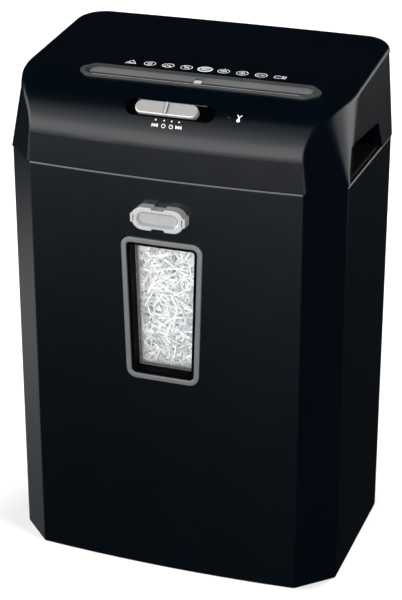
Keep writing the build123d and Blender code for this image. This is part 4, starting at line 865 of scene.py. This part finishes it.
# Studio cards seen in the gloss: facing, where their edge starts and ends, and level by height
CARDS = [
    (
        (-0.6, -0.8, 0.0),
        (0.35, 0.75),
        [(-0.45, 0.0), (-0.4, 0.006), (-0.355, 0.022), (-0.31, 0.065), (-0.27, 0.16), (-0.21, 0.62),
         (-0.1, 0.94), (0.05, 0.98), (0.2, 0.82), (0.29, 0.55), (0.37, 0.43), (0.46, 0.31), (0.54, 0.2),
         (0.62, 0.08), (0.7, 0.01), (0.78, 0.0)],
    ),
    (
        (0.17, -0.98, 0.0),
        (0.74, 0.96),
        [(-0.7, 0.0), (-0.5, 0.01), (-0.437, 0.022), (-0.396, 0.042), (-0.355, 0.06), (-0.3, 0.06),
         (-0.22, 0.22), (-0.12, 0.22), (0.0, 0.0)],
    ),
    (
        (-0.94, 0.34, 0.0),
        (0.55, 0.85),
        [(-0.95, 0.0), (-0.7, 0.02), (-0.5, 0.05), (-0.46, 0.08), (-0.41, 0.16), (-0.37, 0.11),
         (-0.34, 0.008), (-0.3, 0.0)],
    ),
    (
        (0.788, 0.616, 0.0),
        (0.84, 0.95),
        [(-0.46, 0.0), (-0.37, 0.01), (-0.28, 0.22), (-0.13, 0.4), (0.0, 0.3), (0.15, 0.05), (0.3, 0.0)],
    ),
    (
        (0.616, 0.788, 0.0),
        (0.9, 0.975),
        [(-0.3, 0.0), (-0.2, 0.15), (-0.1, 0.34), (0.05, 0.34), (0.2, 0.1), (0.3, 0.0)],
    ),
    (
        (-0.247, -0.688, 0.682),
        (0.93, 0.99),
        [(0.3, 0.0), (0.5, 0.15), (0.99, 0.15)],
    ),
]
CARD_LIGHT = 3.2
SHADE_LIGHT = 0.01


def math_node(tree, operation, first, second):
    """Sum or product of two values."""
    node = tree.nodes.new("ShaderNodeMath")
    node.operation = operation
    for socket, value in zip(node.inputs, (first, second)):
        if isinstance(value, float):
            socket.default_value = value
        else:
            tree.links.new(value, socket)
    return node.outputs["Value"]


def card(tree, place, rise, facing, edge, stops):
    """Brightness of one studio card, by direction."""
    side = tree.nodes.new("ShaderNodeVectorMath")
    side.operation = "DOT_PRODUCT"
    side.inputs[1].default_value = facing
    tree.links.new(place, side.inputs[0])
    fade = tree.nodes.new("ShaderNodeMapRange")
    fade.interpolation_type = "SMOOTHSTEP"
    fade.inputs["From Min"].default_value, fade.inputs["From Max"].default_value = edge
    tree.links.new(side.outputs["Value"], fade.inputs["Value"])
    band = tree.nodes.new("ShaderNodeValToRGB")
    ramp = band.color_ramp.elements
    while len(ramp) < len(stops):
        ramp.new(0.5)
    for stop, (height, level) in zip(ramp, stops):
        stop.position = (height + 1) / 2
        stop.color = (level, level, level, 1)
    tree.links.new(rise, band.inputs["Fac"])
    return math_node(tree, "MULTIPLY", fade.outputs["Result"], band.outputs["Color"])


def studio():
    """Dark studio with soft cards round it, and lamps for the floor and the pale pieces."""
    world = bpy.data.worlds.new("studio")
    world.use_nodes = True
    tree = world.node_tree
    place = tree.nodes.new("ShaderNodeTexCoord").outputs["Generated"]
    parts = tree.nodes.new("ShaderNodeSeparateXYZ")
    tree.links.new(place, parts.inputs["Vector"])
    rise = tree.nodes.new("ShaderNodeMapRange")
    rise.inputs["From Min"].default_value = -1.0
    tree.links.new(parts.outputs["Z"], rise.inputs["Value"])
    total = SHADE_LIGHT
    for facing, edge, stops in CARDS:
        level = card(tree, place, rise.outputs["Result"], facing, edge, stops)
        level = math_node(tree, "MULTIPLY", level, CARD_LIGHT)
        total = math_node(tree, "ADD", level, total)
    tree.links.new(total, tree.nodes["Background"].inputs["Strength"])
    tree.nodes["Background"].inputs["Color"].default_value = (0.96, 0.98, 1.0, 1)
    backdrop = tree.nodes.new("ShaderNodeBackground")
    backdrop.inputs["Color"].default_value = (1.0, 1.0, 1.0, 1)
    seen = tree.nodes.new("ShaderNodeMixShader")
    tree.links.new(tree.nodes.new("ShaderNodeLightPath").outputs["Is Camera Ray"], seen.inputs["Fac"])
    tree.links.new(tree.nodes["Background"].outputs["Background"], seen.inputs[1])
    tree.links.new(backdrop.outputs["Background"], seen.inputs[2])
    tree.links.new(seen.outputs["Shader"], tree.nodes["World Output"].inputs["Surface"])
    bpy.context.scene.world = world
    bpy.context.scene.view_settings.view_transform = "Standard"
    for lamp in LAMPS:
        softbox(*lamp)


CAMERA_LENS = 110.35
CAMERA_SENSOR = 36.0
CAMERA_PLACE = Vector((0.5875, -1.6411, 1.0298))
CAMERA_AIM = Vector((-0.0019, 0.0, 0.25426))


def camera():
    """Camera at the photograph's place and angle."""
    data = bpy.data.cameras.new("camera")
    data.lens = CAMERA_LENS
    data.sensor_width = CAMERA_SENSOR
    obj = bpy.data.objects.new("camera", data)
    obj.location = CAMERA_PLACE
    aim = CAMERA_AIM - obj.location
    obj.rotation_mode = "QUATERNION"
    obj.rotation_quaternion = aim.to_track_quat("-Z", "Y")
    bpy.context.scene.collection.objects.link(obj)
    bpy.context.scene.camera = obj


floor()
studio()
camera()
